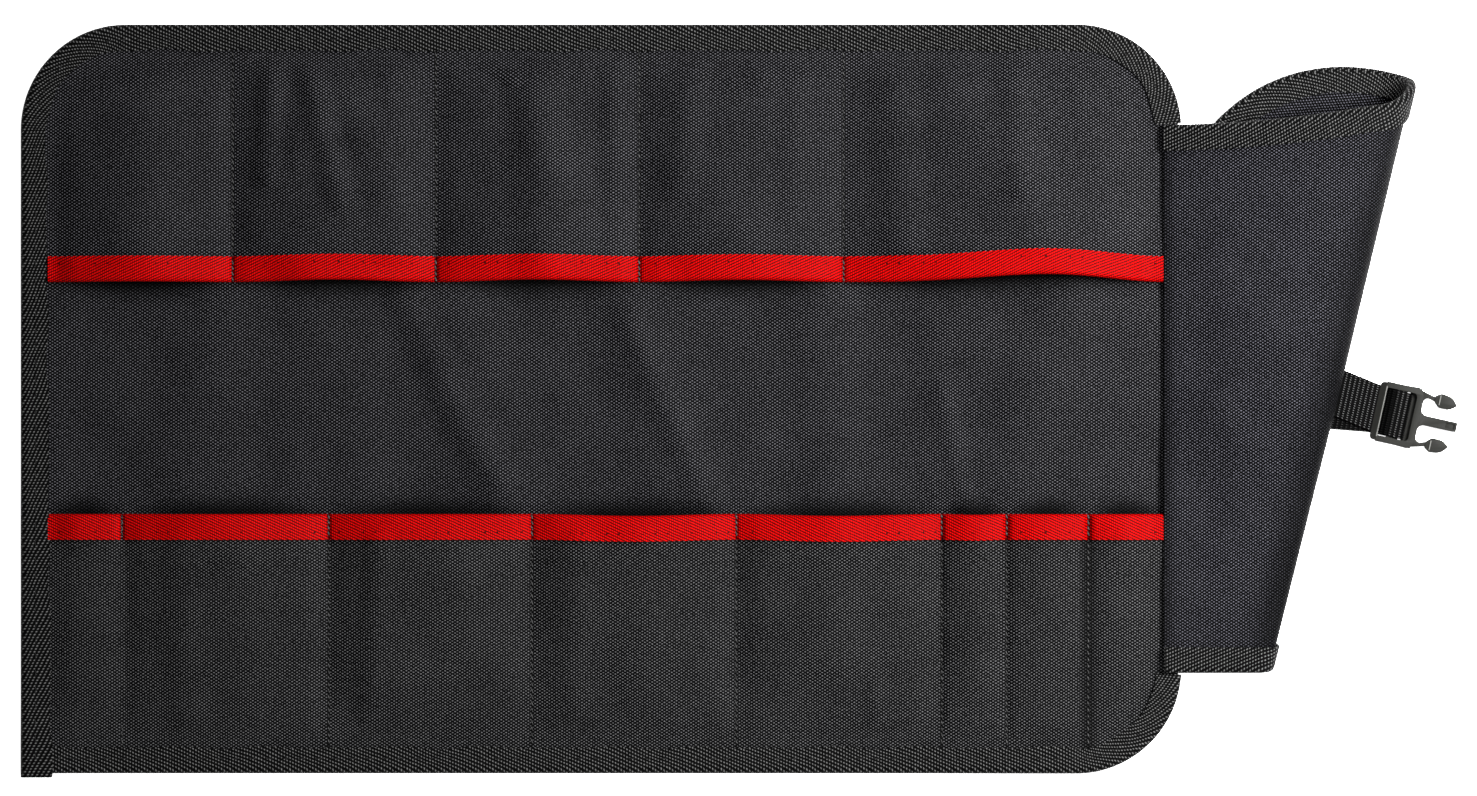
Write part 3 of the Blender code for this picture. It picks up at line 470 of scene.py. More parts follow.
def cloth_material(name, tint):
    """Black coated polyester, with a colour tint for its lighter yarns."""
    material, tree, flat = start_material(name)
    weave = use_group(tree, plain_weave, {"Position": flat})
    patchy = add_node(tree, "ShaderNodeTexNoise", {"Vector": flat, "Scale": PATCH_SCALE, "Detail": 3.0})
    level = make_uneven(tree, weave["Float"], weave["Speckle"], SPECKLE_SHARE)
    level = make_uneven(tree, level, patchy, PATCH_SHARE)
    middle, light = (
        [part * tinted for part, tinted in zip(yarn, (*tint, 1.0))] for yarn in (CLOTH_MIDDLE, CLOTH_LIGHT)
    )
    colour = colour_ramp(tree, level, tuple(zip(CLOTH_LEVELS, (CLOTH_DARK, middle, light))))
    # Painted shade under the slack mouths and at the flap's fold and root
    colour = darken(tree, colour, "painted_shade", PAINTED_SHADE_STRENGTH)
    # Painted shade in the groove along each seam
    colour = darken(tree, colour, "seam", SEAM_SHADE)
    finish_surface(tree, colour, {"Height": level, "Distance": YARN_RELIEF, "Strength": YARN_STRENGTH})
    return material


black_cloth = cloth_material("black_cloth", BLACK_TINT)
worn_cloth = cloth_material("worn_cloth", WORN_TINT)

panel_ends = end_lines(CORNER_RADIUS - EDGE_ROOM, END_LINES)
panel_columns = np.concatenate((
    -HALF_LENGTH + EDGE_ROOM + panel_ends[:-1],
    grid_lines(-HALF_LENGTH + CORNER_RADIUS, HALF_LENGTH - CORNER_RADIUS, CLOTH_STEP),
    HALF_LENGTH - EDGE_ROOM - panel_ends[-2::-1],
))


def place_panel(x, share):
    """A point of the panel, at a place along it and a share of its width."""
    low = -side_line(x, EDGE_ROOM, True)
    high = side_line(x, EDGE_ROOM, False)
    y = mix(low, high, share)
    return (x, y, panel_underside(x, y)), (x, y)


panel = lay_cloth(
    "panel_cloth", panel_columns, np.linspace(0, 1, PANEL_LINES), place_panel, CLOTH, 1, black_cloth
)
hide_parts("back_panel")
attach(panel, "root")

# The pockets
# Two more layers of the same cloth, one for each row, caught under the edge tape on three sides. Rows of
# stitches through both layers divide them, and between the stitches their slack mouths stand open.
ARCH_HEIGHT = 0.0072
ARCH_FADE = 0.014
MOUTH_BOW = 0.0039
MOUTH_FADE = 0.024
MOUTH_TAPE_WIDTH = 0.0096
UPPER_ROW = 0.1087
LOWER_ROW = 0.1095
UPPER_MOUTH = HALF_WIDTH - UPPER_ROW
LOWER_MOUTH = HALF_WIDTH - LOWER_ROW
POCKET_STEP = 0.0020
POCKET_LINES = 62
POCKET_CUT = (0.3, 0.2)
SEAM_PULL = 0.0008
SEAM_GROOVE = 0.0009
SEAM_HALF = 0.0016
SEAM_CLEAR = 0.12
LIP = 0.0014
SHADE_REACH = 0.0105
SHADE_ROUND = 0.7
FLAP_WIDTH = 0.234
FLAP_LAP = 0.0074
ROOT_SHADE = 0.60
ROOT_SHADE_REACH = 0.0032
ROOT_X = HALF_LENGTH - FLAP_LAP
ROW_LEFT = -HALF_LENGTH + BINDING_WIDTH + GAP

Pocket = namedtuple("Pocket", "right_edge arch bow lean")

# Right edges are shares of the row, arches of ARCH_HEIGHT and bows of MOUTH_BOW. A lean above 1 moves a
# pocket's bow to its right.
UPPER_POCKETS = (
    Pocket(0.166, 1.05, 0.06, 1.0),
    Pocket(0.348, 1.00, 0.26, 1.0),
    Pocket(0.530, 1.00, 0.26, 1.0),
    Pocket(0.713, 1.00, 0.22, 1.0),
    Pocket(1.000, 1.25, 0.85, 1.5),
)
LOWER_POCKETS = (
    Pocket(0.067, 0.30, 0.0, 1.0),
    Pocket(0.252, 0.80, 0.0, 1.0),
    Pocket(0.434, 0.80, 0.0, 1.0),
    Pocket(0.617, 0.80, 0.20, 1.0),
    Pocket(0.801, 0.80, 0.20, 1.0),
    Pocket(0.859, 0.40, 0.08, 1.0),
    Pocket(0.932, 0.36, 0.0, 1.0),
    Pocket(1.000, 0.42, 0.0, 1.0),
)
POCKET_FOLDS = (
    Fold(-0.1166, 0.1296, -0.1488, 0.0736, 0.00158, 0.014),
    Fold(-0.1066, 0.1280, -0.0942, 0.0928, 0.00158, 0.014),
    Fold(-0.0298, 0.1280, -0.0099, 0.0736, 0.00158, 0.016),
    Fold(0.1488, 0.1344, 0.1885, 0.0768, 0.00158, 0.020),
)
FINE_POCKET_FOLDS = (
    Fold(-0.1960, 0.1440, -0.1960, 0.0620, 0.0016, 0.022),
    Fold(-0.1410, 0.1440, -0.1430, 0.0950, 0.0022, 0.008),
    Fold(-0.1255, 0.1440, -0.1115, 0.0850, 0.0024, 0.009),
    Fold(-0.0890, 0.1440, -0.0870, 0.0650, 0.0020, 0.015),
    Fold(-0.0520, 0.1480, -0.0378, 0.1364, 0.0018, 0.006),
    Fold(-0.0290, 0.1440, -0.0260, 0.0600, 0.0024, 0.016),
    Fold(0.0050, 0.1440, 0.0060, 0.0700, 0.0012, 0.008),
    Fold(0.0380, 0.1440, 0.0330, 0.0900, 0.0016, 0.012),
    Fold(0.0620, 0.1460, 0.0700, 0.1330, 0.0010, 0.008),
    Fold(0.0830, 0.1440, 0.0820, 0.0800, 0.0012, 0.010),
    Fold(0.1250, 0.1400, 0.1290, 0.0700, 0.0018, 0.014),
    Fold(0.1750, 0.1400, 0.1800, 0.0900, 0.0016, 0.010),
    Fold(0.2050, 0.1300, 0.2180, 0.0800, 0.0010, 0.009),
    Fold(-0.0950, -0.0620, -0.1000, -0.1350, 0.0010, 0.008),
    Fold(-0.0100, -0.0620, -0.0120, -0.1300, 0.0008, 0.010),
    Fold(0.1160, -0.1180, 0.1180, -0.1400, 0.0008, 0.006),
    Fold(-0.1800, -0.0620, -0.1760, -0.1350, 0.0008, 0.012),
)


def row_edges(pockets):
    """Where the seams of a row of pockets are, from the left tape to the flap's root."""
    return [ROW_LEFT] + [mix(ROW_LEFT, ROOT_X, pocket.right_edge) for pocket in pockets]


def across_pocket(x, pockets):
    """Each point's share of its pocket's width, the pocket's arch and how far its mouth bows there."""
    edges = np.array(row_edges(pockets))
    which = np.clip(np.searchsorted(edges, x, side="right") - 1, 0, len(pockets) - 1)
    share = np.clip((x - edges[which]) / (edges[which + 1] - edges[which]), 0.0, 1.0)
    arch = np.array([pocket.arch for pocket in pockets])[which]
    bow = np.array([pocket.bow for pocket in pockets])[which]
    lean = np.array([pocket.lean for pocket in pockets])[which]
    return share, arch, bow * np.sin(math.pi * share ** lean) ** 2


def pocket_underside(x, y, pockets, mouth):
    """The lower face of a row's cloth: flat at its seams and its closed end, arched at its mouth."""
    share, arch, _ = across_pocket(x, pockets)
    inner_end = HALF_WIDTH - BINDING_WIDTH
    open_share = np.clip((inner_end - np.abs(y)) / (inner_end - mouth), 0.0, 1.0)
    clear = ease((edge_distance(x, y) - BINDING_WIDTH) / ARCH_FADE)
    swell = np.sin(math.pi * share) * clear
    raised = arch * ARCH_HEIGHT * swell * (1 - (1 - open_share) ** 2)
    tape_room = EDGE_ROOM * (1 - ease((np.abs(y) - mouth - MOUTH_TAPE_WIDTH) / MOUTH_FADE))
    beside = np.minimum(share, 1 - share)
    fine = fold_rise(x, y, FINE_POCKET_FOLDS) + ripples(x + HALF_LENGTH, y)
    folds = fold_rise(x, y, POCKET_FOLDS) * swell + fine * clear * ease(beside / SEAM_CLEAR)
    return panel_underside(x, y) + CLOTH + GAP + tape_room + raised + folds


def mouth_line(x, pockets, mouth):
    """How far from the panel's middle line a row's mouth is, with the bow of a slack pocket."""
    _, _, bow = across_pocket(x, pockets)
    return mouth + bow * MOUTH_BOW


def seam_lines(pockets):
    """The places of a row's stitched seams between its pockets."""
    return row_edges(pockets)[1:-1]


def seam_distance(x, pockets):
    """How far places along a row are from its nearest seam."""
    return np.min(np.abs(x[:, None] - np.array(seam_lines(pockets))[None, :]), axis=1)


def make_pocket_cloth(name, node, pockets, mouth, upward, material):
    """A row of pockets: one sheet sewn down at its seams, which arches up between them."""
    ends = end_lines(CORNER_RADIUS - EDGE_ROOM, END_LINES)
    straight = HALF_LENGTH - CORNER_RADIUS
    columns = np.concatenate((
        -HALF_LENGTH + EDGE_ROOM + ends[:-1],
        grid_lines(-straight, straight, POCKET_STEP, seam_lines(pockets)),
        HALF_LENGTH - EDGE_ROOM - ends[-2::-1],
    ))
    columns = np.unique(np.concatenate((columns, [ROW_LEFT, ROOT_X])))
    side = 1 if upward else -1

    def place(x, share):
        closed = side_line(x, EDGE_ROOM, not upward)
        y = side * mix(mouth_line(x, pockets, mouth), closed, share)
        return (x, y, pocket_underside(x, y, pockets, mouth)), (x + POCKET_CUT[0], y + POCKET_CUT[1])

    cloth = lay_cloth(name, columns, np.linspace(0, 1, POCKET_LINES), place, CLOTH, side, material)
    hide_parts(node)
    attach(cloth, "root")
    return cloth


upper_cloth = make_pocket_cloth(
    "upper_pocket_cloth", "upper_pockets", UPPER_POCKETS, UPPER_MOUTH, True, black_cloth
)
lower_cloth = make_pocket_cloth(
    "lower_pocket_cloth", "lower_pockets", LOWER_POCKETS, LOWER_MOUTH, False, worn_cloth
)


def mark_seams(piece, pockets):
    """Marks the groove along each stitched seam, where the thread pulls the cloth in, to be darkened with
    painted shade.
    """
    mark(piece, "seam", 1 - ease(seam_distance(points_of(piece)[:, 0], pockets) / SEAM_GROOVE))


def shade_mouths():
    """Marks painted shade on the panel: deep under the slack mouths, and where it meets the flap."""
    x, y, _ = points_of(panel).T
    total = np.zeros(len(x))
    for pockets, mouth, side in ((UPPER_POCKETS, UPPER_MOUTH, 1), (LOWER_POCKETS, LOWER_MOUTH, -1)):
        share, _, _ = across_pocket(x, pockets)
        swell = np.sin(math.pi * share)
        out = mouth_line(x, pockets, mouth) - LIP - side * y
        reach = SHADE_REACH * swell ** SHADE_ROUND
        total = total + np.sqrt(swell) * (1 - ease(out / np.maximum(reach, GAP))) * (side * y > 0)
    at_root = (1 - ease((HALF_LENGTH - x) / ROOT_SHADE_REACH)) * (np.abs(y) < FLAP_WIDTH / 2)
    mark(panel, "painted_shade", total + ROOT_SHADE * at_root)


mark_seams(upper_cloth, UPPER_POCKETS)
mark_seams(lower_cloth, LOWER_POCKETS)
shade_mouths()

# The mouth tapes
# Red ribbed polyester tape, folded over each row's mouth and sewn through along its inner edge. Its ribs
# slant up to the right, and the needle has left a row of small holes in it.
TAPE_STEP = 0.0016
TURN_POINTS = 9
MOUTH_FLAT_POINTS = 8
PROBE = 0.0005
STITCH_PITCH = 0.0052
STITCH_PLACE = 0.0064
HOLE_SIZE = 0.00045
RED_SEAM_SHADE = 0.94
RED_DARK = (0.022, 0.0001, 0.0001, 1.0)
RED_MIDDLE = (0.150, 0.0001, 0.0002, 1.0)
RED_LIGHT = (0.42, 0.0006, 0.0006, 1.0)
RED_HOLE = (0.030, 0.0004, 0.0005, 1.0)
RED_LEVELS = (0.02, 0.40, 0.95)
RED_CROWN = 0.55
RED_LINE = 0.45
RED_PATCH_SCALE = 900.0
RED_RELIEF = 0.0002
RED_STRENGTH = 0.7
HOLE_CHANCE_SCALE = 130.0
RED_WEAVE = {"Rib": 0.00092, "Row": 0.00125, "Slant": -0.46, "Wander": 0.0003}
TWILL_WEAVE = {"Rib": 0.00124, "Row": 0.0017, "Slant": 0.33, "Wander": 0.00025}
TWILL_WANDER_SCALE = 300.0

# Crown is 1 on each short float and 0 between them: the floats stand in ribs that slant across the tape
twill_tape, given, gives = start_group("twill_tape", TWILL_WEAVE, ("Crown", "Rib line"))
parts = split(twill_tape, unsteady(twill_tape, given, TWILL_WANDER_SCALE))
sheared = calculate(twill_tape, "MULTIPLY_ADD", parts["X"], given["Slant"], parts["Y"])


def full_wave(tree, value, period):
    """A sine of a length from 0 to 1, one whole wave to each period."""
    turn = calculate(tree, "MULTIPLY", value, calculate(tree, "DIVIDE", 2 * math.pi, period))
    return calculate(tree, "MULTIPLY_ADD", calculate(tree, "SINE", turn), 0.5, 0.5)


rib_wave = full_wave(twill_tape, parts["X"], given["Rib"])
row_wave = full_wave(twill_tape, sheared, given["Row"])
twill_tape.links.new(calculate(twill_tape, "MULTIPLY", rib_wave, row_wave), gives["Crown"])
twill_tape.links.new(row_wave, gives["Rib line"])


def ribbed(tree, position, flat, weave, crown, line, patches):
    """The level of a ribbed tape's pattern: shares of its floats' crowns and its rib lines, with patches."""
    ribs = use_group(tree, twill_tape, {"Position": position, **weave})
    lines = calculate(tree, "MULTIPLY", ribs["Rib line"], line)
    level = calculate(tree, "MULTIPLY_ADD", ribs["Crown"], crown, lines)
    patchy = add_node(tree, "ShaderNodeTexNoise", {"Vector": flat, "Scale": patches, "Detail": 2.0})
    return make_uneven(tree, level, patchy, 0.5)


red_tape, tree, flat = start_material("red_tape")
level = ribbed(tree, flat, flat, RED_WEAVE, RED_CROWN, RED_LINE, RED_PATCH_SCALE)
colour = colour_ramp(tree, level, tuple(zip(RED_LEVELS, (RED_DARK, RED_MIDDLE, RED_LIGHT))))
parts = split(tree, flat)
in_pitch = calculate(tree, "FLOORED_MODULO", parts["X"], STITCH_PITCH)
around = calculate(tree, "SUBTRACT", in_pitch, STITCH_PITCH / 2)
off_line = calculate(tree, "SUBTRACT", parts["Y"], STITCH_PLACE)
squares = calculate(tree, "MULTIPLY_ADD", around, around, calculate(tree, "MULTIPLY", off_line, off_line))
chance = add_node(tree, "ShaderNodeTexNoise", {"Vector": flat, "Scale": HOLE_CHANCE_SCALE, "Detail": 0.0})
wide = calculate(tree, "MULTIPLY", calculate(tree, "GREATER_THAN", chance, 0.5), HOLE_SIZE)
hole = calculate(tree, "LESS_THAN", calculate(tree, "SQRT", squares), wide)
pierced = tree.nodes.new("ShaderNodeMix")
pierced.data_type = "RGBA"
tree.links.new(hole, pierced.inputs[0])
tree.links.new(colour, pierced.inputs[6])
pierced.inputs[7].default_value = RED_HOLE
# Painted shade darkens the tape in the groove at each seam
colour = darken(tree, pierced.outputs[2], "seam", RED_SEAM_SHADE)
sunk = calculate(tree, "SUBTRACT", level, hole)
finish_surface(tree, colour, {"Height": sunk, "Distance": RED_RELIEF, "Strength": RED_STRENGTH})


def slope_factor(surface, x, y):
    """How much longer an upright distance is than one square to a sloping surface."""
    slope_x = (surface(x + PROBE, y) - surface(x - PROBE, y)) / (2 * PROBE)
    slope_y = (surface(x, y + PROBE) - surface(x, y - PROBE)) / (2 * PROBE)
    return np.sqrt(1 + slope_x * slope_x + slope_y * slope_y)


def fold_section(width, top, bottom, edge):
    """Half-rounded section of a tape folded over an edge: each point's distance inwards and its height.

    top and bottom are the heights of its two faces, edge how far out its fold reaches.
    """
    radius = (top - bottom) / 2
    flat_run = np.linspace(width, edge + radius, MOUTH_FLAT_POINTS)
    turn = np.linspace(math.pi / 2, -math.pi / 2, TURN_POINTS)[1:-1]
    inward = np.concatenate((flat_run, edge + radius - radius * np.cos(turn), flat_run[::-1]))
    height = np.concatenate((
        np.full(len(flat_run), top),
        (top + bottom) / 2 + radius * np.sin(turn),
        np.full(len(flat_run), bottom),
    ))
    return inward, height


def make_mouth_ribbon(name, node, pockets, mouth, upward):
    """The red tape folded over a row's mouth, dipping at each seam."""
    side = 1 if upward else -1
    columns = grid_lines(ROW_LEFT + GAP, ROOT_X - GAP, TAPE_STEP, seam_lines(pockets))
    inward, height = fold_section(MOUTH_TAPE_WIDTH, CLOTH + GAP + TAPE, -GAP - TAPE, -GAP - TAPE)
    walked = np.concatenate(([0], np.cumsum(np.hypot(np.diff(inward), np.diff(height)))))

    def cloth(x, y):
        return pocket_underside(x, y, pockets, mouth)

    def place(x, corner):
        corner = corner.astype(int)
        reach = mouth_line(x, pockets, mouth)
        y = side * (reach + inward[corner])
        foot = side * (reach + np.maximum(inward[corner], 0.0))
        pull = 1 - ease(seam_distance(x, pockets) / SEAM_HALF)
        lift = height[corner] - pull * SEAM_PULL * (height[corner] > CLOTH)
        z = cloth(x, foot) + lift * slope_factor(cloth, x, foot)
        return (x, y, z), (x, MOUTH_TAPE_WIDTH - walked[corner])

    ribbon = lay_cloth(name, columns, np.arange(len(inward)), place, TAPE, side, red_tape)
    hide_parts(node)
    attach(ribbon, "root")
    return ribbon


upper_ribbon = make_mouth_ribbon("upper_red_tape", "upper_mouth_tape", UPPER_POCKETS, UPPER_MOUTH, True)
lower_ribbon = make_mouth_ribbon("lower_red_tape", "lower_mouth_tape", LOWER_POCKETS, LOWER_MOUTH, False)
mark_seams(upper_ribbon, UPPER_POCKETS)
mark_seams(lower_ribbon, LOWER_POCKETS)

# The edge tapes
# Black herringbone tape folded over all the layers at the panel's edge and sewn through, with its spine on
# the fold. One length runs from the flap's upper side over the top and down the left, past the square corner,
# where it laps over the other one.
BINDING_STEP = 0.0018
BINDING_TAIL = 0.0017
FOLD_ROUND = 0.0014
TAPE_WAVE = 0.00040
TAPE_WAVE_LENGTHS = (0.031, 0.047)
TAPE_SPINE = 0.0125
LEFT_WIDER = 0.0017
EDGE_FLAT_POINTS = 7
TAPE_DARK = (0.0002, 0.0002, 0.0002, 1.0)
TAPE_MIDDLE = (0.004, 0.004, 0.004, 1.0)
TAPE_LIGHT = (0.084, 0.084, 0.083, 1.0)
TAPE_LEVELS = (0.10, 0.46, 0.95)
TAPE_CROWN = 0.75
TAPE_LINE = 0.2
TAPE_PATCH_SCALE = 500.0
TAPE_RELIEF = 0.0004
TAPE_STRENGTH = 0.9
HERRINGBONE = {"Rib": 0.00122, "Row": 0.00152, "Slant": -0.42, "Wander": 0.0004}

black_tape, tree, flat = start_material("black_tape")
parts = split(tree, flat)
off_spine = calculate(tree, "ABSOLUTE", calculate(tree, "SUBTRACT", parts["Y"], TAPE_SPINE))
mirrored = add_node(
    tree, "ShaderNodeCombineXYZ", {"X": parts["X"], "Y": calculate(tree, "MULTIPLY", off_spine, -1.0)}
)
level = ribbed(tree, mirrored, flat, HERRINGBONE, TAPE_CROWN, TAPE_LINE, TAPE_PATCH_SCALE)
colour = colour_ramp(tree, level, tuple(zip(TAPE_LEVELS, (TAPE_DARK, TAPE_MIDDLE, TAPE_LIGHT))))
finish_surface(tree, colour, {"Height": level, "Distance": TAPE_RELIEF, "Strength": TAPE_STRENGTH})


def edge_stack(x, y):
    """How high the panel's layers are at its edge, from the panel's underside to the highest cloth."""
    mouth = np.where(y > 0, UPPER_MOUTH, LOWER_MOUTH)
    past_mouth = ease((np.abs(y) - mouth + MOUTH_FADE) / MOUTH_FADE)
    tape_room = EDGE_ROOM * (1 - ease((np.abs(y) - mouth - MOUTH_TAPE_WIDTH) / MOUTH_FADE))
    return CLOTH + GAP + (CLOTH + GAP + tape_room) * past_mouth


def tape_section(width):
    """Distances inwards round a tape's section, how far up its fold each point is, and the length walked."""
    run = np.linspace(width, TAPE + FOLD_ROUND, EDGE_FLAT_POINTS)
    turn = np.linspace(math.pi / 2, -math.pi / 2, TURN_POINTS)
    inward = np.concatenate((run, TAPE + FOLD_ROUND * (1 - np.cos(turn[1:-1])), run[::-1]))
    up = np.concatenate((np.ones(len(run)), 0.5 + 0.5 * np.sin(turn[1:-1]), np.zeros(len(run))))
    walked = np.concatenate(([0], np.cumsum(np.hypot(np.diff(inward), 2 * FOLD_ROUND * np.diff(up)))))
    return inward, up, walked


def walk(points):
    """Lengths along a row of points, from its first one."""
    steps = np.hypot(np.diff(points[:, 0]), np.diff(points[:, 1]))
    return np.concatenate(([0], np.cumsum(steps)))


def make_edge_tape(name, node, stations, lap):
    """A tape folded over the panel's edge: stations are places on the outline with the way inwards."""
    inward, up, walked = tape_section(BINDING_WIDTH)
    length = walk(stations)

    def place(station, corner):
        station = station.astype(int)
        corner = corner.astype(int)
        uneven = sum(np.sin(2 * math.pi * length[station] / wave) for wave in TAPE_WAVE_LENGTHS)
        on_left = stations[station, 0] < -HALF_LENGTH + GAP
        lower = np.clip(HALF_WIDTH / 2 - stations[station, 1], 0, None) / HALF_WIDTH
        wider = TAPE_WAVE * uneven + LEFT_WIDER * on_left * lower
        reach = inward[corner] + wider * ease((inward[corner] - TAPE - FOLD_ROUND) / BINDING_WIDTH)
        x = stations[station, 0] + stations[station, 2] * reach
        y = stations[station, 1] + stations[station, 3] * reach
        base = panel_underside(x, np.maximum(y, -HALF_WIDTH + TAPE))
        lapped = lap * EDGE_ROOM * corner_overlap(x, y)
        high = base + edge_stack(x, y) + lapped
        low = base - GAP - lapped
        return (x, y, mix(low, high, up[corner])), (length[station], walked[corner])

    tape = lay_cloth(name, np.arange(len(stations)), np.arange(len(inward)), place, TAPE, -1, black_tape)
    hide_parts(node)
    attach(tape, "root")
    return tape


def arc_stations(centre_x, centre_y, start, end):
    """Stations round a corner."""
    turns = np.linspace(start, end, int(CORNER_RADIUS * abs(end - start) / BINDING_STEP))
    across, up = np.cos(turns), np.sin(turns)
    return np.stack((centre_x + CORNER_RADIUS * across, centre_y + CORNER_RADIUS * up, -across, -up), axis=1)


def straight_stations(start, end, inward):
    """Stations along a straight side, with both its ends."""
    count = int(math.dist(start, end) / BINDING_STEP)
    places = np.linspace(start, end, count)
    return np.concatenate((places, np.tile(inward, (count, 1))), axis=1)


corner_x = HALF_LENGTH - CORNER_RADIUS
corner_y = HALF_WIDTH - CORNER_RADIUS
first_turn = math.asin((FLAP_WIDTH / 2 + 2 * GAP - corner_y) / CORNER_RADIUS)
long_stations = np.concatenate((
    arc_stations(corner_x, corner_y, first_turn, math.pi / 2),
    straight_stations((corner_x, HALF_WIDTH), (-corner_x, HALF_WIDTH), (0, -1))[1:-1],
    arc_stations(-corner_x, corner_y, math.pi / 2, math.pi),
    straight_stations((-HALF_LENGTH, corner_y), (-HALF_LENGTH, -HALF_WIDTH - BINDING_TAIL), (1, 0))[1:],
))
bottom_stations = np.concatenate((
    straight_stations((-HALF_LENGTH + EDGE_ROOM, -HALF_WIDTH), (corner_x, -HALF_WIDTH), (0, 1))[:-1],
    arc_stations(corner_x, -corner_y, -math.pi / 2, -first_turn),
))
long_tape = make_edge_tape("long_edge_tape", "long_binding", long_stations, 1)
bottom_tape = make_edge_tape("bottom_edge_tape", "bottom_binding", bottom_stations, 0)

# The flap
# A short piece of the same cloth, sewn on the panel's right end and bound on its other three sides. It rises
# from its root, bends over in a fold that opens like a cone towards its upper side, and lies back under the
# panel.
FLAP_LENGTH = 0.192
FLAP_CORNER = 0.1073
FLAP_FLARE = 0.030
FLARE_LENGTH = 0.180
FLARE_POWER = 2.0
TUCK_FLARE = 0.0086
TUCK_FLARE_START = 0.0928
TUCK_FLARE_RUN = 0.0300
FOLD_LEAN = 0.0020
FOLD_LEAN_END = 1.2
FOLD_REACH = 0.0745
FOLD_TILT = math.radians(14.2)
FOLD_RADIUS_TOP = 0.0130
FOLD_RADIUS_BOTTOM = 0.0050
FOLD_SHADE = 0.86
FOLD_SHADE_REACH = 0.0195
FLAP_ROOT_HEIGHT = float(panel_underside(ROOT_X, HALF_WIDTH / 2)) + 3 * CLOTH + TAPE + 3 * GAP + FLAP_TAPE_GAP
FLAP_RIPPLE = 2.2
MEAN_RIPPLE = len(RIPPLE_LENGTHS) * RIPPLES_EACH * RIPPLE_HEIGHT / 2
FLAP_CUT = 0.7
FLAP_LINES = 130
FRONT_STEPS = 44
BEND_STEPS = 22
BACK_STEPS = 44
HALVINGS = 30

# The flap's cloth is tinted darker than the panel's: painted shade against the stronger light on the raised
# flap
FLAP_TINT = (0.91, 0.90, 1.03)
flap_cloth = cloth_material("flap_cloth", FLAP_TINT)


def corner_drop(past, radius):
    """How far a rounded corner falls away at a distance past the start of its arc."""
    past = np.clip(past, 0.0, radius)
    return radius - np.sqrt(radius * radius - past * past)


def flap_top(a, inset):
    """The flap's upper edge, which flares towards its free end and ends in a round corner."""
    radius = FLAP_CORNER - inset
    flare = FLAP_FLARE * (np.maximum(a, 0.0) / FLARE_LENGTH) ** FLARE_POWER
    flare = flare + TUCK_FLARE * ease((a - TUCK_FLARE_START) / TUCK_FLARE_RUN)
    return FLAP_WIDTH / 2 - inset + flare - corner_drop(a - FLAP_LENGTH + inset + radius, radius)


def flap_bottom(a, inset):
    """The flap's lower edge, straight as far as its round corner."""
    radius = FLAP_CORNER - inset
    return -FLAP_WIDTH / 2 + inset + corner_drop(a - FLAP_LENGTH + inset + radius, radius)


def fold_frame(a, b):
    """A flat point's distance past the bend's start, its place along the fold, and the fold's radius."""
    across = (a - FOLD_REACH) * math.cos(FOLD_TILT) - b * math.sin(FOLD_TILT)
    along = (a - FOLD_REACH) * math.sin(FOLD_TILT) + b * math.cos(FOLD_TILT)
    half = FLAP_WIDTH / 2 / math.cos(FOLD_TILT)
    radius = mix(FOLD_RADIUS_BOTTOM, FOLD_RADIUS_TOP, (along + half) / (2 * half))
    return across + radius, along, radius


def flap_plan(a, b):
    """The place of a flat point of the flap, seen from above."""
    past, along, radius = fold_frame(a, b)
    turned = math.pi * radius
    round_fold = radius * np.sin(np.clip(past, 0.0, turned) / radius) - radius
    across = np.where(past <= 0, past - radius, np.where(past < turned, round_fold, turned - past - radius))
    half = FLAP_WIDTH / 2 / math.cos(FOLD_TILT)
    up = np.clip((along + half) / (2 * half), 0.0, FOLD_LEAN_END)
    out = np.clip(a / np.maximum(a - past / math.cos(FOLD_TILT), GAP), 0.0, 1.0)
    across = across - FOLD_LEAN * up * up * out
    x = ROOT_X + FOLD_REACH + across * math.cos(FOLD_TILT) + along * math.sin(FOLD_TILT)
    y = along * math.cos(FOLD_TILT) - across * math.sin(FOLD_TILT)
    return x, y


def bend_start(share):
    """The length along the flap at which its fold starts, on the line at a share of its width."""
    low, high = np.zeros_like(share), np.full_like(share, FLAP_LENGTH)
    for _ in range(HALVINGS):
        middle = (low + high) / 2
        b = mix(flap_bottom(middle, EDGE_ROOM), flap_top(middle, EDGE_ROOM), share)
        before = fold_frame(middle, b)[0] < 0
        low = np.where(before, middle, low)
        high = np.where(before, high, middle)
    return low


def flap_surface(a, b):
    """The flap's outer face: up from its root, round the fold and back along the table."""
    past, _, radius = fold_frame(a, b)
    x, y = flap_plan(a, b)
    edge = np.minimum(np.minimum(flap_top(a, 0.0) - b, b - flap_bottom(a, 0.0)), FLAP_LENGTH - a)
    bound = FLAP_EDGE_ROOM * (1 - ease((edge - BINDING_WIDTH) / EDGE_FADE))
    floor = strap_hump(x, y) + bound
    start_a = a - past / math.cos(FOLD_TILT)
    start_x, start_y = flap_plan(start_a, b)
    crest = strap_hump(start_x, start_y) + bound + 2 * radius
    share = np.clip(np.maximum(a, 0.0) / np.maximum(start_a, GAP), 0.0, 1.0)
    front = mix(FLAP_ROOT_HEIGHT, crest, 1 - (1 - share) ** 2)
    inside = ease((edge - BINDING_WIDTH) / EDGE_FADE) * np.sin(math.pi * share)
    front = front + (ripples(x, y) - MEAN_RIPPLE) * FLAP_RIPPLE * inside
    turning = floor + radius * (1 + np.cos(np.clip(past / radius, 0.0, math.pi)))
    z = np.where(past > 0, np.where(past < math.pi * radius, turning, floor), front)
    return np.stack((x, y, z), axis=-1)


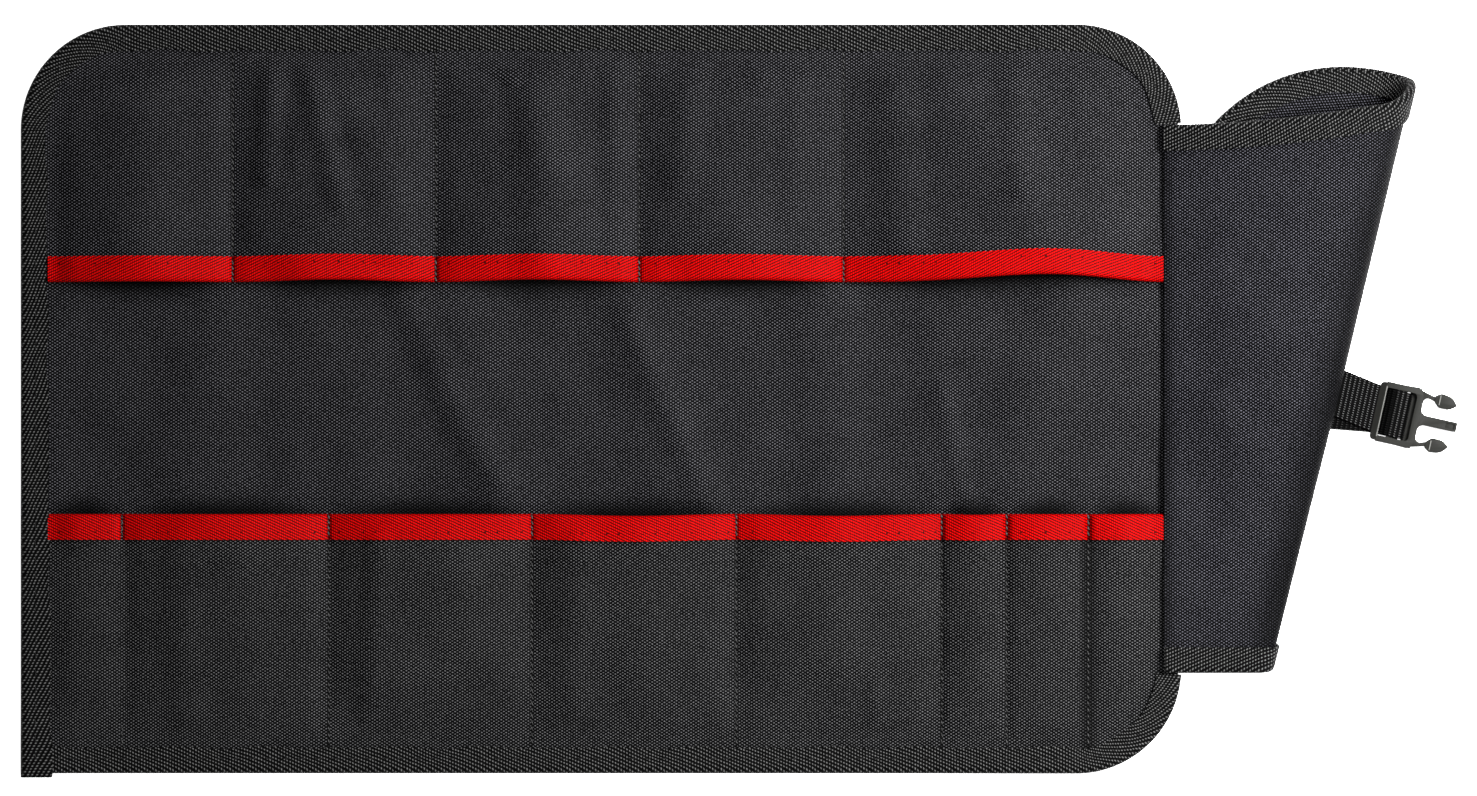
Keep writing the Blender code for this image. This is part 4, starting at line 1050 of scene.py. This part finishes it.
def flap_lengths(share, inset):
    """Lengths along the flap for its lines, one row each: up its front, round its fold and along its back."""
    share = np.atleast_1d(np.asarray(share, dtype=float))
    start = bend_start(share)
    b = mix(flap_bottom(start, EDGE_ROOM), flap_top(start, EDGE_ROOM), share)
    end = start + math.pi * fold_frame(start, b)[2] / math.cos(FOLD_TILT)
    rise = start[:, None] * np.linspace(0, 1, FRONT_STEPS + 1)[None, :-1]
    bend = start[:, None] + (end - start)[:, None] * np.linspace(0, 1, BEND_STEPS + 1)[None, :-1]
    last = np.sin(np.linspace(0, math.pi / 2, BACK_STEPS + 1))
    lie = end[:, None] + (FLAP_LENGTH - inset - end)[:, None] * last[None, :]
    return np.concatenate((rise, bend, lie), axis=1)


flap_shares = np.linspace(0, 1, FLAP_LINES)
flap_table = flap_lengths(flap_shares, EDGE_ROOM)


def place_flap(column, row):
    """A point of the flap's outer face, from its column and row."""
    column = column.astype(int)
    row = row.astype(int)
    a = flap_table[row, column]
    b = mix(flap_bottom(a, EDGE_ROOM), flap_top(a, EDGE_ROOM), flap_shares[row])
    placed = flap_surface(a, b)
    return (placed[:, 0], placed[:, 1], placed[:, 2]), (a + FLAP_CUT, b)


columns, rows = np.arange(flap_table.shape[1]), np.arange(FLAP_LINES)
flap = lay_cloth("flap_cloth", columns, rows, place_flap, CLOTH, -1, flap_cloth)
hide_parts("flap")
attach(flap, "root")


def shade_fold():
    """Marks painted shade where the flap turns out of sight at its fold, and where it turns down to its root.
    """
    x, y, _ = points_of(flap).T
    away = y * math.sin(FOLD_TILT) - (x - ROOT_X - FOLD_REACH) * math.cos(FOLD_TILT)
    at_root = 1 - ease((x - ROOT_X) / (2 * ROOT_SHADE_REACH))
    mark(flap, "painted_shade", FOLD_SHADE * (1 - ease(away / FOLD_SHADE_REACH)) + ROOT_SHADE * at_root)


shade_fold()


def flap_point(a, b, height):
    """Points off the flap's outer face, square to it."""
    run = flap_surface(a + PROBE, b) - flap_surface(a - PROBE, b)
    rise = flap_surface(a, b + PROBE) - flap_surface(a, b - PROBE)
    normal = np.cross(run, rise)
    normal /= np.linalg.norm(normal, axis=-1, keepdims=True)
    return flap_surface(a, b) + normal * np.asarray(height)[..., None]


flap_upper = flap_lengths(1.0, 0.0)[0]
flap_lower = flap_lengths(0.0, 0.0)[0]
upper_end = float(flap_top(FLAP_LENGTH, 0.0))
lower_end = float(flap_bottom(FLAP_LENGTH, 0.0))
end_count = int((upper_end - lower_end) / BINDING_STEP)
end_run = np.linspace(upper_end, lower_end, end_count)[1:-1]
flap_outline = np.concatenate((
    np.stack((flap_upper, flap_top(flap_upper, 0.0)), axis=1),
    np.stack((np.full(len(end_run), FLAP_LENGTH), end_run), axis=1),
    np.stack((flap_lower, flap_bottom(flap_lower, 0.0)), axis=1)[::-1],
))
outline_walk = walk(flap_outline)
outline_ways = np.gradient(flap_outline, axis=0)
outline_ways /= np.linalg.norm(outline_ways, axis=1, keepdims=True)
flap_inward, flap_up, flap_walked = tape_section(BINDING_WIDTH)


def place_flap_tape(index, corner):
    """A point of the flap's edge tape, from its station and its place round the section."""
    index = index.astype(int)
    corner = corner.astype(int)
    inward = flap_inward[corner]
    a = np.maximum(flap_outline[index, 0] + outline_ways[index, 1] * inward, 0.0)
    b = flap_outline[index, 1] - outline_ways[index, 0] * inward
    height = mix(-CLOTH - FLAP_TAPE_GAP, FLAP_TAPE_GAP, flap_up[corner])
    placed = flap_point(a, b, height)
    return (placed[:, 0], placed[:, 1], placed[:, 2]), (outline_walk[index], flap_walked[corner])


flap_tape = lay_cloth(
    "flap_edge_tape",
    np.arange(len(flap_outline)),
    np.arange(len(flap_inward)),
    place_flap_tape,
    TAPE,
    1,
    black_tape,
)
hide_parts("flap_binding")
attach(flap_tape, "root")

# The strap and its plug
# Ribbed polyester webbing, sewn flat under the panel. It comes out of the fold, runs over the plug's rear
# bar, turns round its second bar and goes back under itself as a short tail that has slipped a little askew.
TAIL_TURN = math.radians(8.0)
PLUG_HEIGHT = 0.0062
REAR_BAR = 0.0026
WEB_BAR = 0.0050
WEB_PICK = 0.00203
WEB_WALE = 0.00098
WEB_LINES = 15
RUN_POINTS = 90
LOOP_POINTS = 17
TAIL_POINTS = 24
STRAP_SLIP = 0.0038
PLUG_SLIP = 0.0008
FRAME_SHADE = 0.93
PART_SHADE = 0.75
WEBBING_DARK = (0.0003, 0.0003, 0.0003, 1.0)
WEBBING_LIGHT = (0.060, 0.060, 0.060, 1.0)
WEBBING_LEVELS = (0.50, 0.95)
WEBBING_WANDER = 0.0001
WEBBING_RELIEF = 0.0005
WEBBING_ROUGH = 0.7
LAYER = WEBBING + GAP
FLOOR_LAYER = WEBBING / 2
WEB_BAR_START = REAR_BAR + 2 * LAYER + 2 * GAP
WEB_BAR_BOTTOM = WEBBING + GAP
WEB_BAR_TOP = PLUG_HEIGHT - WEBBING - 2 * GAP
LOOP_RADIUS = (WEB_BAR_TOP - WEB_BAR_BOTTOM + 2 * GAP + WEBBING) / 2
LOOP_CENTRE = WEB_BAR_START + WEB_BAR - GAP

black_webbing, tree, flat = start_material("black_webbing")
webbing_weave = {"Position": flat, "Rib": WEB_PICK, "Row": WEB_WALE, "Slant": 0.0, "Wander": WEBBING_WANDER}
picks = use_group(tree, twill_tape, webbing_weave)["Crown"]
colour = colour_ramp(tree, picks, tuple(zip(WEBBING_LEVELS, (WEBBING_DARK, WEBBING_LIGHT))))
# Painted shade where the webbing lies under the plug's frame and under its own upper layer
colour = darken(tree, colour, "frame_shade", FRAME_SHADE)
finish_surface(tree, colour, {"Height": picks, "Distance": WEBBING_RELIEF}, WEBBING_ROUGH)


def plug_place(along, sideways, height):
    """Points in the plug's own directions: along it from its rear edge, sideways and up."""
    x = PLUG_X + along * math.cos(STRAP_TURN) + sideways * math.sin(STRAP_TURN)
    y = strap_line(PLUG_X) - along * math.sin(STRAP_TURN) + sideways * math.cos(STRAP_TURN)
    return np.stack(np.broadcast_arrays(x, y, height), axis=-1)


def lay_webbing(name, node, middle, sideways):
    """Webbing along a row of points, with its width in the direction given for each."""
    walked = np.concatenate(([0], np.cumsum(np.linalg.norm(np.diff(middle, axis=0), axis=1))))

    def place(index, across):
        index = index.astype(int)
        placed = middle[index] + sideways[index] * across[:, None]
        return (placed[:, 0], placed[:, 1], placed[:, 2]), (walked[index], across)

    across = np.linspace(-STRAP_WIDTH / 2, STRAP_WIDTH / 2, WEB_LINES)
    webbing = lay_cloth(name, np.arange(len(middle)), across, place, WEBBING, 0, black_webbing)
    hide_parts(node)
    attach(webbing, "root")
    return webbing


run_x = np.linspace(STRAP_START, PLUG_X, RUN_POINTS)
run_y = strap_line(run_x)
run_slope = np.gradient(run_y, run_x)
run_side = np.stack((-run_slope, np.ones(len(run_x)), np.zeros(len(run_x))), axis=1)
run_side /= np.linalg.norm(run_side, axis=1, keepdims=True)
run_y = run_y + np.interp(run_x, (STRAP_MIDDLE, ROOT_X + FOLD_REACH, PLUG_X), (0.0, STRAP_SLIP, PLUG_SLIP))
run_middle = np.stack((run_x, run_y, strap_top(run_x) - WEBBING / 2), axis=1)
over_bar = np.stack((
    plug_place(REAR_BAR + GAP, PLUG_SLIP / 2, FLOOR_LAYER + LAYER),
    plug_place(mix(REAR_BAR, WEB_BAR_START, 0.5), PLUG_SLIP / 2, FLOOR_LAYER + LAYER / 2 + LOOP_RADIUS),
    plug_place(WEB_BAR_START - GAP, PLUG_SLIP / 2, FLOOR_LAYER + 2 * LOOP_RADIUS),
    plug_place(WEB_BAR_START + REAR_BAR / 2, PLUG_SLIP / 2, FLOOR_LAYER + 2 * LOOP_RADIUS),
    plug_place(LOOP_CENTRE - REAR_BAR / 2, PLUG_SLIP / 4, FLOOR_LAYER + 2 * LOOP_RADIUS),
))
loop_turn = np.linspace(0, math.pi, LOOP_POINTS)
loop = plug_place(
    LOOP_CENTRE + LOOP_RADIUS * np.sin(loop_turn), 0.0, FLOOR_LAYER + LOOP_RADIUS * (1 + np.cos(loop_turn))
)
tail_along = np.linspace(LOOP_CENTRE, -TAIL_LENGTH, TAIL_POINTS)[1:]
tail = plug_place(tail_along, np.minimum(tail_along + TAPE, 0.0) * math.tan(TAIL_TURN), FLOOR_LAYER)
square = plug_place(0.0, 1.0, 0.0) - plug_place(0.0, 0.0, 0.0)
strap_middle = np.concatenate((run_middle, over_bar, loop, tail))
strap_side = np.concatenate((run_side, np.tile(square, (len(strap_middle) - len(run_side), 1))))
strap = lay_webbing("strap_webbing", "strap", strap_middle, strap_side)


def shade_in_frame():
    """Marks painted shade on the webbing, where the plug's frame and its own upper layer would shade it."""
    points = points_of(strap)
    ahead = points - plug_place(0.0, 0.0, 0.0)
    along = ahead[:, 0] * math.cos(STRAP_TURN) - ahead[:, 1] * math.sin(STRAP_TURN)
    beside = ease(along / REAR_BAR) * (1 - ease((along - WEB_BAR_START) / REAR_BAR))
    past = ease((along - LOOP_CENTRE) / REAR_BAR)
    under = (along < 0) & (points[:, 0] > STRAP_MIDDLE) & (points[:, 2] < WEBBING + GAP / 2)
    mark(strap, "frame_shade", beside + (past + under) * PART_SHADE)


shade_in_frame()

# The plug is moulded in one piece. Corner is a corner of its outline: along from its rear edge and out from
# its middle, with the radius that rounds it.
Corner = namedtuple("Corner", "along out radius")
PLUG_HALF = 0.0133
PLUG_FRONT = 0.0187
PLUG_LENGTH = 0.0355
PLUG_EDGE = 0.00035
FORK_HEIGHT = 0.0030
HEAD_HEIGHT = 0.0046
REAR_SLOPE = 1.25
WEB_BAR_WIDTH = 2 * PLUG_HALF - 0.0030
RAIL = (PLUG_FRONT - 0.0034, 0.0026, WEBBING + LAYER)
RAIL_PLACE = (PLUG_FRONT / 2 + 0.0010, PLUG_HALF - 0.0016, (WEBBING + LAYER) / 2 + GAP)
COLLAR_RISE = 0.0004
SUNK_FLOOR = 0.7
CORNER_STEPS = 6
STRAIGHT = math.radians(89)
SHARP = math.radians(35)
PLUG_CREASE = math.radians(40)
WELD = 0.00002
FRAME_CORNERS = (
    Corner(0.0, PLUG_HALF - 0.0008, 0.0016),
    Corner(0.0172, PLUG_HALF, 0.0022),
    Corner(PLUG_FRONT, PLUG_HALF - 0.0030, 0.0010),
)
WINDOW_CORNERS = (
    Corner(REAR_BAR + 0.0003, PLUG_HALF - 0.0028, 0.0008),
    Corner(0.0162, PLUG_HALF - 0.0028, 0.0018),
)
FORK_CORNERS = (
    Corner(0.0166, PLUG_HALF - 0.0010, 0.0004),
    Corner(0.0184, PLUG_HALF - 0.0011, 0.0012),
    Corner(0.0255, PLUG_HALF - 0.0030, 0.0008),
    Corner(0.0255, PLUG_HALF - 0.0049, 0.0006),
    Corner(0.0192, PLUG_HALF - 0.0031, 0.0020),
    Corner(0.0192, 0.0021, 0.0026),
    Corner(PLUG_LENGTH, 0.0021, 0.0006),
)
NOTCH_CORNERS = (
    Corner(0.0306, 0.00115, 0.0003),
    Corner(0.0344, 0.00115, 0.0003),
)
FRONT_WEB = 0.0012
FRONT_WEB_CORNERS = (
    Corner(0.0132, PLUG_HALF - 0.0020, 0.0004),
    Corner(0.0172, PLUG_HALF - 0.0020, 0.0004),
)
HEAD_CORNERS = (
    Corner(0.0238, 0.0112, 0.0010),
    Corner(0.0262, 0.0128, 0.0012),
    Corner(0.0312, 0.0122, 0.0050),
    Corner(0.0338, 0.0088, 0.0008),
    Corner(0.0306, 0.0066, 0.0040),
    Corner(0.0262, 0.0066, 0.0014),
    Corner(0.0240, 0.0086, 0.0008),
)
COLLAR_CORNERS = (
    Corner(0.0256, 0.0122, 0.0004),
    Corner(0.0262, 0.0124, 0.0002),
    Corner(0.0262, 0.0074, 0.0002),
    Corner(0.0256, 0.0076, 0.0004),
)

PLASTIC_BLACK = (0.0098, 0.0099, 0.0090, 1.0)
# The lighter colour below is that of the painted highlights along the plug's edges
PLASTIC_HIGHLIGHT = (0.075, 0.075, 0.071, 1.0)
GRAIN_SCALE = 2600.0
GRAIN_RELIEF = 0.00003
PLASTIC_ROUGH = 0.5
PLASTIC_SPECULAR = 0.03

# Painted highlights along the plug's edges: places along the plug and out from its middle, and how high up
HighlightLine = namedtuple("HighlightLine", "along half inner outer above")
HIGHLIGHT_LINES = (
    HighlightLine(REAR_BAR + 0.0001, 0.00028, 0.0, PLUG_HALF - 0.0024, PLUG_HEIGHT - 0.0012),
    HighlightLine(0.0260, 0.00022, 0.0078, 0.0120, PLUG_HEIGHT / 2),
)

black_plastic, tree, place_on = start_material("black_plastic", False)
grain = add_node(tree, "ShaderNodeTexNoise", {"Vector": place_on, "Scale": GRAIN_SCALE, "Detail": 2.0})
plug_rear = (-PLUG_X, -float(strap_line(PLUG_X)), 0.0)
from_rear = add_node(tree, "ShaderNodeMapping", {"Vector": place_on, "Location": plug_rear})
turned_back = {"Vector": from_rear, "Rotation": (0.0, 0.0, STRAP_TURN)}
parts = split(tree, add_node(tree, "ShaderNodeMapping", turned_back))
out = calculate(tree, "ABSOLUTE", parts["Y"])
# Painted highlights: the plastic is coloured lighter along each line, above its height
highlit = 0.0
for line in HIGHLIGHT_LINES:
    near = calculate(tree, "COMPARE", parts["X"], line.along, line.half)
    beside = calculate(tree, "COMPARE", out, (line.inner + line.outer) / 2, (line.outer - line.inner) / 2)
    high_up = calculate(tree, "GREATER_THAN", parts["Z"], line.above)
    here = calculate(tree, "MULTIPLY", calculate(tree, "MULTIPLY", near, beside), high_up)
    highlit = calculate(tree, "ADD", here, highlit)
colour = colour_ramp(tree, highlit, ((0.0, PLASTIC_BLACK), (1.0, PLASTIC_HIGHLIGHT)))
finish_surface(tree, colour, {"Height": grain, "Distance": GRAIN_RELIEF}, PLASTIC_ROUGH, PLASTIC_SPECULAR)


def round_corners(corners):
    """An outline's points, with an arc at each corner."""
    points = []
    for number, corner in enumerate(corners):
        here = Vector((corner.along, corner.out))
        back = Vector(corners[number - 1][:2]) - here
        ahead = Vector(corners[(number + 1) % len(corners)][:2]) - here
        half_angle = back.angle(ahead) / 2
        if half_angle > STRAIGHT:
            points.append(here)
            continue
        reach = min(corner.radius / math.tan(half_angle), back.length / 2, ahead.length / 2)
        radius = reach * math.tan(half_angle)
        first = here + back.normalized() * reach
        last = here + ahead.normalized() * reach
        centre = here + (back.normalized() + ahead.normalized()).normalized() * math.hypot(reach, radius)
        from_first, from_last = first - centre, last - centre
        sweep = from_first.angle_signed(from_last)
        for step in range(CORNER_STEPS + 1):
            turned = from_first.copy()
            turned.rotate(Matrix.Rotation(-sweep * step / CORNER_STEPS, 2))
            points.append(centre + turned)
    return points


def flip_side(corners):
    """The same corners on the other side of the middle line, in the same turning order."""
    return [corner._replace(out=-corner.out) for corner in reversed(corners)]


def mirror_corners(corners):
    """Corners of one half, with the same corners on the other side of the middle line."""
    return list(corners) + flip_side(corners)


def moulding(name, outlines, low, high, slope=0.0):
    """A moulded piece: flat outlines, the later ones holes, raised between two heights with rounded edges.

    slope lowers its rear part, towards its rear edge.
    """
    curve = bpy.data.curves.new(name, "CURVE")
    curve.dimensions = "2D"
    curve.fill_mode = "BOTH"
    curve.extrude = (high - low) / 2
    for corners in outlines:
        points = round_corners(corners)
        spline = curve.splines.new("POLY")
        spline.points.add(len(points) - 1)
        for point, place in zip(spline.points, points):
            point.co = (place[0], place[1], 0, 1)
        spline.use_cyclic_u = True
    piece = bpy.data.objects.new(name, curve)
    bpy.context.scene.collection.objects.link(piece)
    bpy.ops.object.select_all(action="DESELECT")
    piece.select_set(True)
    bpy.context.view_layer.objects.active = piece
    bpy.ops.object.convert(target="MESH")
    piece = bpy.context.active_object
    piece.data.transform(Matrix.Translation((0, 0, (low + high) / 2)))
    bm = bmesh.new()
    bm.from_mesh(piece.data)
    bmesh.ops.remove_doubles(bm, verts=bm.verts, dist=WELD)
    if slope:
        whole = bm.verts[:] + bm.edges[:] + bm.faces[:]
        bmesh.ops.bisect_plane(bm, geom=whole, plane_co=(REAR_BAR, 0, 0), plane_no=(1, 0, 0))
        for vert in bm.verts:
            if vert.co.z > low + GAP and vert.co.x < REAR_BAR:
                vert.co.z -= (REAR_BAR - vert.co.x) * slope
    bmesh.ops.recalc_face_normals(bm, faces=bm.faces)
    bm.to_mesh(piece.data)
    bm.free()
    bevel = piece.modifiers.new("edges", "BEVEL")
    bevel.width = PLUG_EDGE
    bevel.segments = 2
    bevel.limit_method = "ANGLE"
    bevel.angle_limit = SHARP
    bpy.ops.object.modifier_apply(modifier=bevel.name)
    bpy.ops.object.shade_smooth_by_angle(angle=PLUG_CREASE)
    return piece


def bar(size, place):
    """A plain bar of the plug, out of sight under its frame."""
    bpy.ops.mesh.primitive_cube_add(size=1)
    made = bpy.context.active_object
    made.data.transform(Matrix.Translation(place) @ Matrix.Diagonal((*size, 1)))
    return made


deck = (PLUG_HEIGHT - FORK_HEIGHT) / 2
head_low = (PLUG_HEIGHT - HEAD_HEIGHT) / 2
frame_outlines = [mirror_corners(FRAME_CORNERS), mirror_corners(WINDOW_CORNERS)]
notch = mirror_corners(NOTCH_CORNERS)
pieces = [
    moulding("plug_frame", frame_outlines, WEBBING + LAYER, PLUG_HEIGHT, REAR_SLOPE),
    moulding("plug_fork", [mirror_corners(FORK_CORNERS), notch], deck, deck + FORK_HEIGHT),
    moulding("plug_window_floor", [notch], deck, deck + FORK_HEIGHT * SUNK_FLOOR),
    moulding("plug_front_web", [mirror_corners(FRONT_WEB_CORNERS)], deck, deck + FRONT_WEB),
]
for corners in (HEAD_CORNERS, flip_side(HEAD_CORNERS)):
    pieces.append(moulding("plug_head", [corners], head_low, head_low + HEAD_HEIGHT))
for corners in (COLLAR_CORNERS, flip_side(COLLAR_CORNERS)):
    pieces.append(moulding("plug_collar", [corners], head_low, head_low + HEAD_HEIGHT + COLLAR_RISE))
rail_x, rail_y, rail_z = RAIL_PLACE
pieces += [bar(RAIL, (rail_x, -rail_y, rail_z)), bar(RAIL, RAIL_PLACE)]
web_bar_place = (WEB_BAR_START + WEB_BAR / 2, 0, (WEB_BAR_TOP + WEB_BAR_BOTTOM) / 2)
pieces.append(bar((WEB_BAR, WEB_BAR_WIDTH, WEB_BAR_TOP - WEB_BAR_BOTTOM), web_bar_place))
bpy.ops.object.select_all(action="DESELECT")
for piece in pieces:
    piece.select_set(True)
bpy.context.view_layer.objects.active = pieces[0]
bpy.ops.object.join()
plug = bpy.context.active_object
plug.name = "buckle_plug_moulding"
plug.data.transform(Matrix.Rotation(-STRAP_TURN, 4, "Z"))
plug.data.transform(Matrix.Translation((PLUG_X, float(strap_line(PLUG_X)), 0)))
plug.data.materials.clear()
plug.data.materials.append(black_plastic)
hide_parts("buckle_plug")
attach(plug, "root")

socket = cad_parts["buckle_socket"]
socket.data.materials.clear()
socket.data.materials.append(black_plastic)

# The socket hangs on a short loop of the same webbing, sewn to the flap inside its fold
LOOP_TURN_POINTS = 13
LOOP_RUN_POINTS = 10
short_low, short_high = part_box("socket_strap")
short_low_z = short_low[2] + WEBBING / 2
short_high_z = short_high[2] - WEBBING / 2
short_radius = (short_high_z - short_low_z) / 2
short_end = short_high[0] - WEBBING / 2 - short_radius
short_turn = np.linspace(0, math.pi, LOOP_TURN_POINTS)
short_run = np.linspace(short_low[0], short_end, LOOP_RUN_POINTS)
short_back = short_run[::-1]
short_x = np.concatenate((short_run[:-1], short_end + short_radius * np.sin(short_turn), short_back[1:]))
short_y = np.full(len(short_x), (short_low[1] + short_high[1]) / 2)
short_share = ease((short_back - short_low[0]) / (short_end - short_low[0]))
short_z = np.concatenate((
    np.full(LOOP_RUN_POINTS - 1, short_low_z),
    short_low_z + short_radius * (1 - np.cos(short_turn)),
    mix(short_low_z + LAYER, short_high_z, short_share)[1:],
))
short_side = np.tile((0.0, 1.0, 0.0), (len(short_x), 1))
short_middle = np.stack((short_x, short_y, short_z), axis=1)
lay_webbing("socket_webbing", "socket_strap", short_middle, short_side)

# The stitching
# Bonded grey-black thread. Each stitch is a short slanted length of it that dives through the cloth at both
# ends.
Stitch = namedtuple("Stitch", "pitch length thick")
TAPE_STITCH = Stitch(0.0024, 0.0023, 0.00075)
CLOTH_STITCH = Stitch(0.0027, 0.0024, 0.00062)
BINDING_STITCH = Stitch(0.0070, 0.0046, 0.00045)
BINDING_STITCH_PLACE = 0.0046
STITCH_SLANT = math.radians(-22)
STITCH_PROUD = 0.25
STRAND_CONTRAST = 10
STRAND_SCALE = 1600.0
STRAND_LEVELS = (0.35, 0.65)
THREAD_ROUGH = 0.5
THREAD_SPECULAR = 0.03
GREY_LIGHT = 0.055
BLACK_LIGHT = 0.046
TAPE_THREAD_LIGHT = 0.010
AROUND_STITCH = 6
ALONG_STITCH = 5


def thread_material(name, light):
    """Twisted thread, with a grey for its lighter strands."""
    material, tree, place_on = start_material(name, False)
    strands = add_node(tree, "ShaderNodeTexNoise", {"Vector": place_on, "Scale": STRAND_SCALE, "Detail": 1.0})
    greys = ((grey, grey, grey, 1.0) for grey in (light / STRAND_CONTRAST, light))
    colour = colour_ramp(tree, strands, tuple(zip(STRAND_LEVELS, greys)))
    finish_surface(tree, colour, None, THREAD_ROUGH, THREAD_SPECULAR)
    return material


grey_thread = thread_material("grey_thread", GREY_LIGHT)
black_thread = thread_material("black_thread", BLACK_LIGHT)
tape_thread = thread_material("tape_thread", TAPE_THREAD_LIGHT)


def sew(name, stitches, material):
    """Stitches as one piece, each given by its middle, direction, the way out of the cloth and its size."""
    bm = bmesh.new()
    for middle, direction, outward, size in stitches:
        along = Vector(direction).normalized()
        up = Vector(outward).normalized()
        sideways = up.cross(along)
        turn = Matrix((along, sideways, up)).transposed().to_4x4()
        shape = Matrix.Diagonal((size.length / 2, size.thick / 2, size.thick / 2, 1))
        bmesh.ops.create_uvsphere(
            bm,
            u_segments=AROUND_STITCH,
            v_segments=ALONG_STITCH,
            radius=1,
            matrix=Matrix.Translation(middle) @ turn @ shape,
        )
    mesh = bpy.data.meshes.new(name)
    bm.to_mesh(mesh)
    bm.free()
    made = bpy.data.objects.new(name, mesh)
    bpy.context.scene.collection.objects.link(made)
    mesh.materials.append(material)
    mesh.polygons.foreach_set("use_smooth", [True] * len(mesh.polygons))
    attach(made, "root")
    return made


def seam_stitches(pockets, mouth, upward, wanted):
    """The stitches that divide a row of pockets, either those over its tape or those down its cloth."""
    side = 1 if upward else -1
    slanted = (math.sin(STITCH_SLANT), math.cos(STITCH_SLANT), 0)
    stitches = []
    for seam in seam_lines(pockets):
        reach = mouth + TAPE_STITCH.pitch / 2 - TAPE - GAP
        while reach < HALF_WIDTH - BINDING_WIDTH - CLOTH_STITCH.pitch / 2:
            on_tape = reach < mouth + MOUTH_TAPE_WIDTH - TAPE_STITCH.pitch / 4
            size = TAPE_STITCH if on_tape else CLOTH_STITCH
            inward = side * max(reach, mouth)
            top = float(pocket_underside(np.array([seam]), np.array([inward]), pockets, mouth)[0]) + CLOTH
            if on_tape:
                top += GAP + TAPE - SEAM_PULL
            if size is wanted:
                middle = (seam, side * reach, top + size.thick * STITCH_PROUD)
                stitches.append((middle, slanted, (0, 0, 1), size))
            reach += size.pitch
    return stitches


def binding_stitches(stations, lap):
    """A row of long stitches a little inside the middle of a tape."""
    length = walk(stations)
    inward = BINDING_WIDTH - BINDING_STITCH_PLACE
    stitches = []
    for along in np.arange(BINDING_STITCH.pitch, length[-1] - BINDING_STITCH.pitch, BINDING_STITCH.pitch):
        x, y, way_x, way_y = (np.interp(along, length, column) for column in stations.T)
        ahead_x, ahead_y = (
            np.interp(along + 2 * PROBE, length, column) - np.interp(along - 2 * PROBE, length, column)
            for column in stations.T[:2]
        )
        x, y = np.array(x + way_x * inward), np.array(y + way_y * inward)
        lapped = lap * EDGE_ROOM * float(corner_overlap(x, y))
        top = float(panel_underside(x, y)) + float(edge_stack(x, y)) + lapped + TAPE
        stitches.append(((x, y, top), (ahead_x, ahead_y, 0), (0, 0, 1), BINDING_STITCH))
    return stitches


upper_tape_seams = sew(
    "upper_tape_stitches", seam_stitches(UPPER_POCKETS, UPPER_MOUTH, True, TAPE_STITCH), grey_thread
)
lower_tape_seams = sew(
    "lower_tape_stitches", seam_stitches(LOWER_POCKETS, LOWER_MOUTH, False, TAPE_STITCH), grey_thread
)
upper_cloth_seams = sew(
    "upper_cloth_stitches", seam_stitches(UPPER_POCKETS, UPPER_MOUTH, True, CLOTH_STITCH), black_thread
)
lower_cloth_seams = sew(
    "lower_cloth_stitches", seam_stitches(LOWER_POCKETS, LOWER_MOUTH, False, CLOTH_STITCH), black_thread
)
edge_stitches = binding_stitches(long_stations, 1) + binding_stitches(bottom_stations, 0)
edge_seams = sew("edge_tape_stitches", edge_stitches, tape_thread)
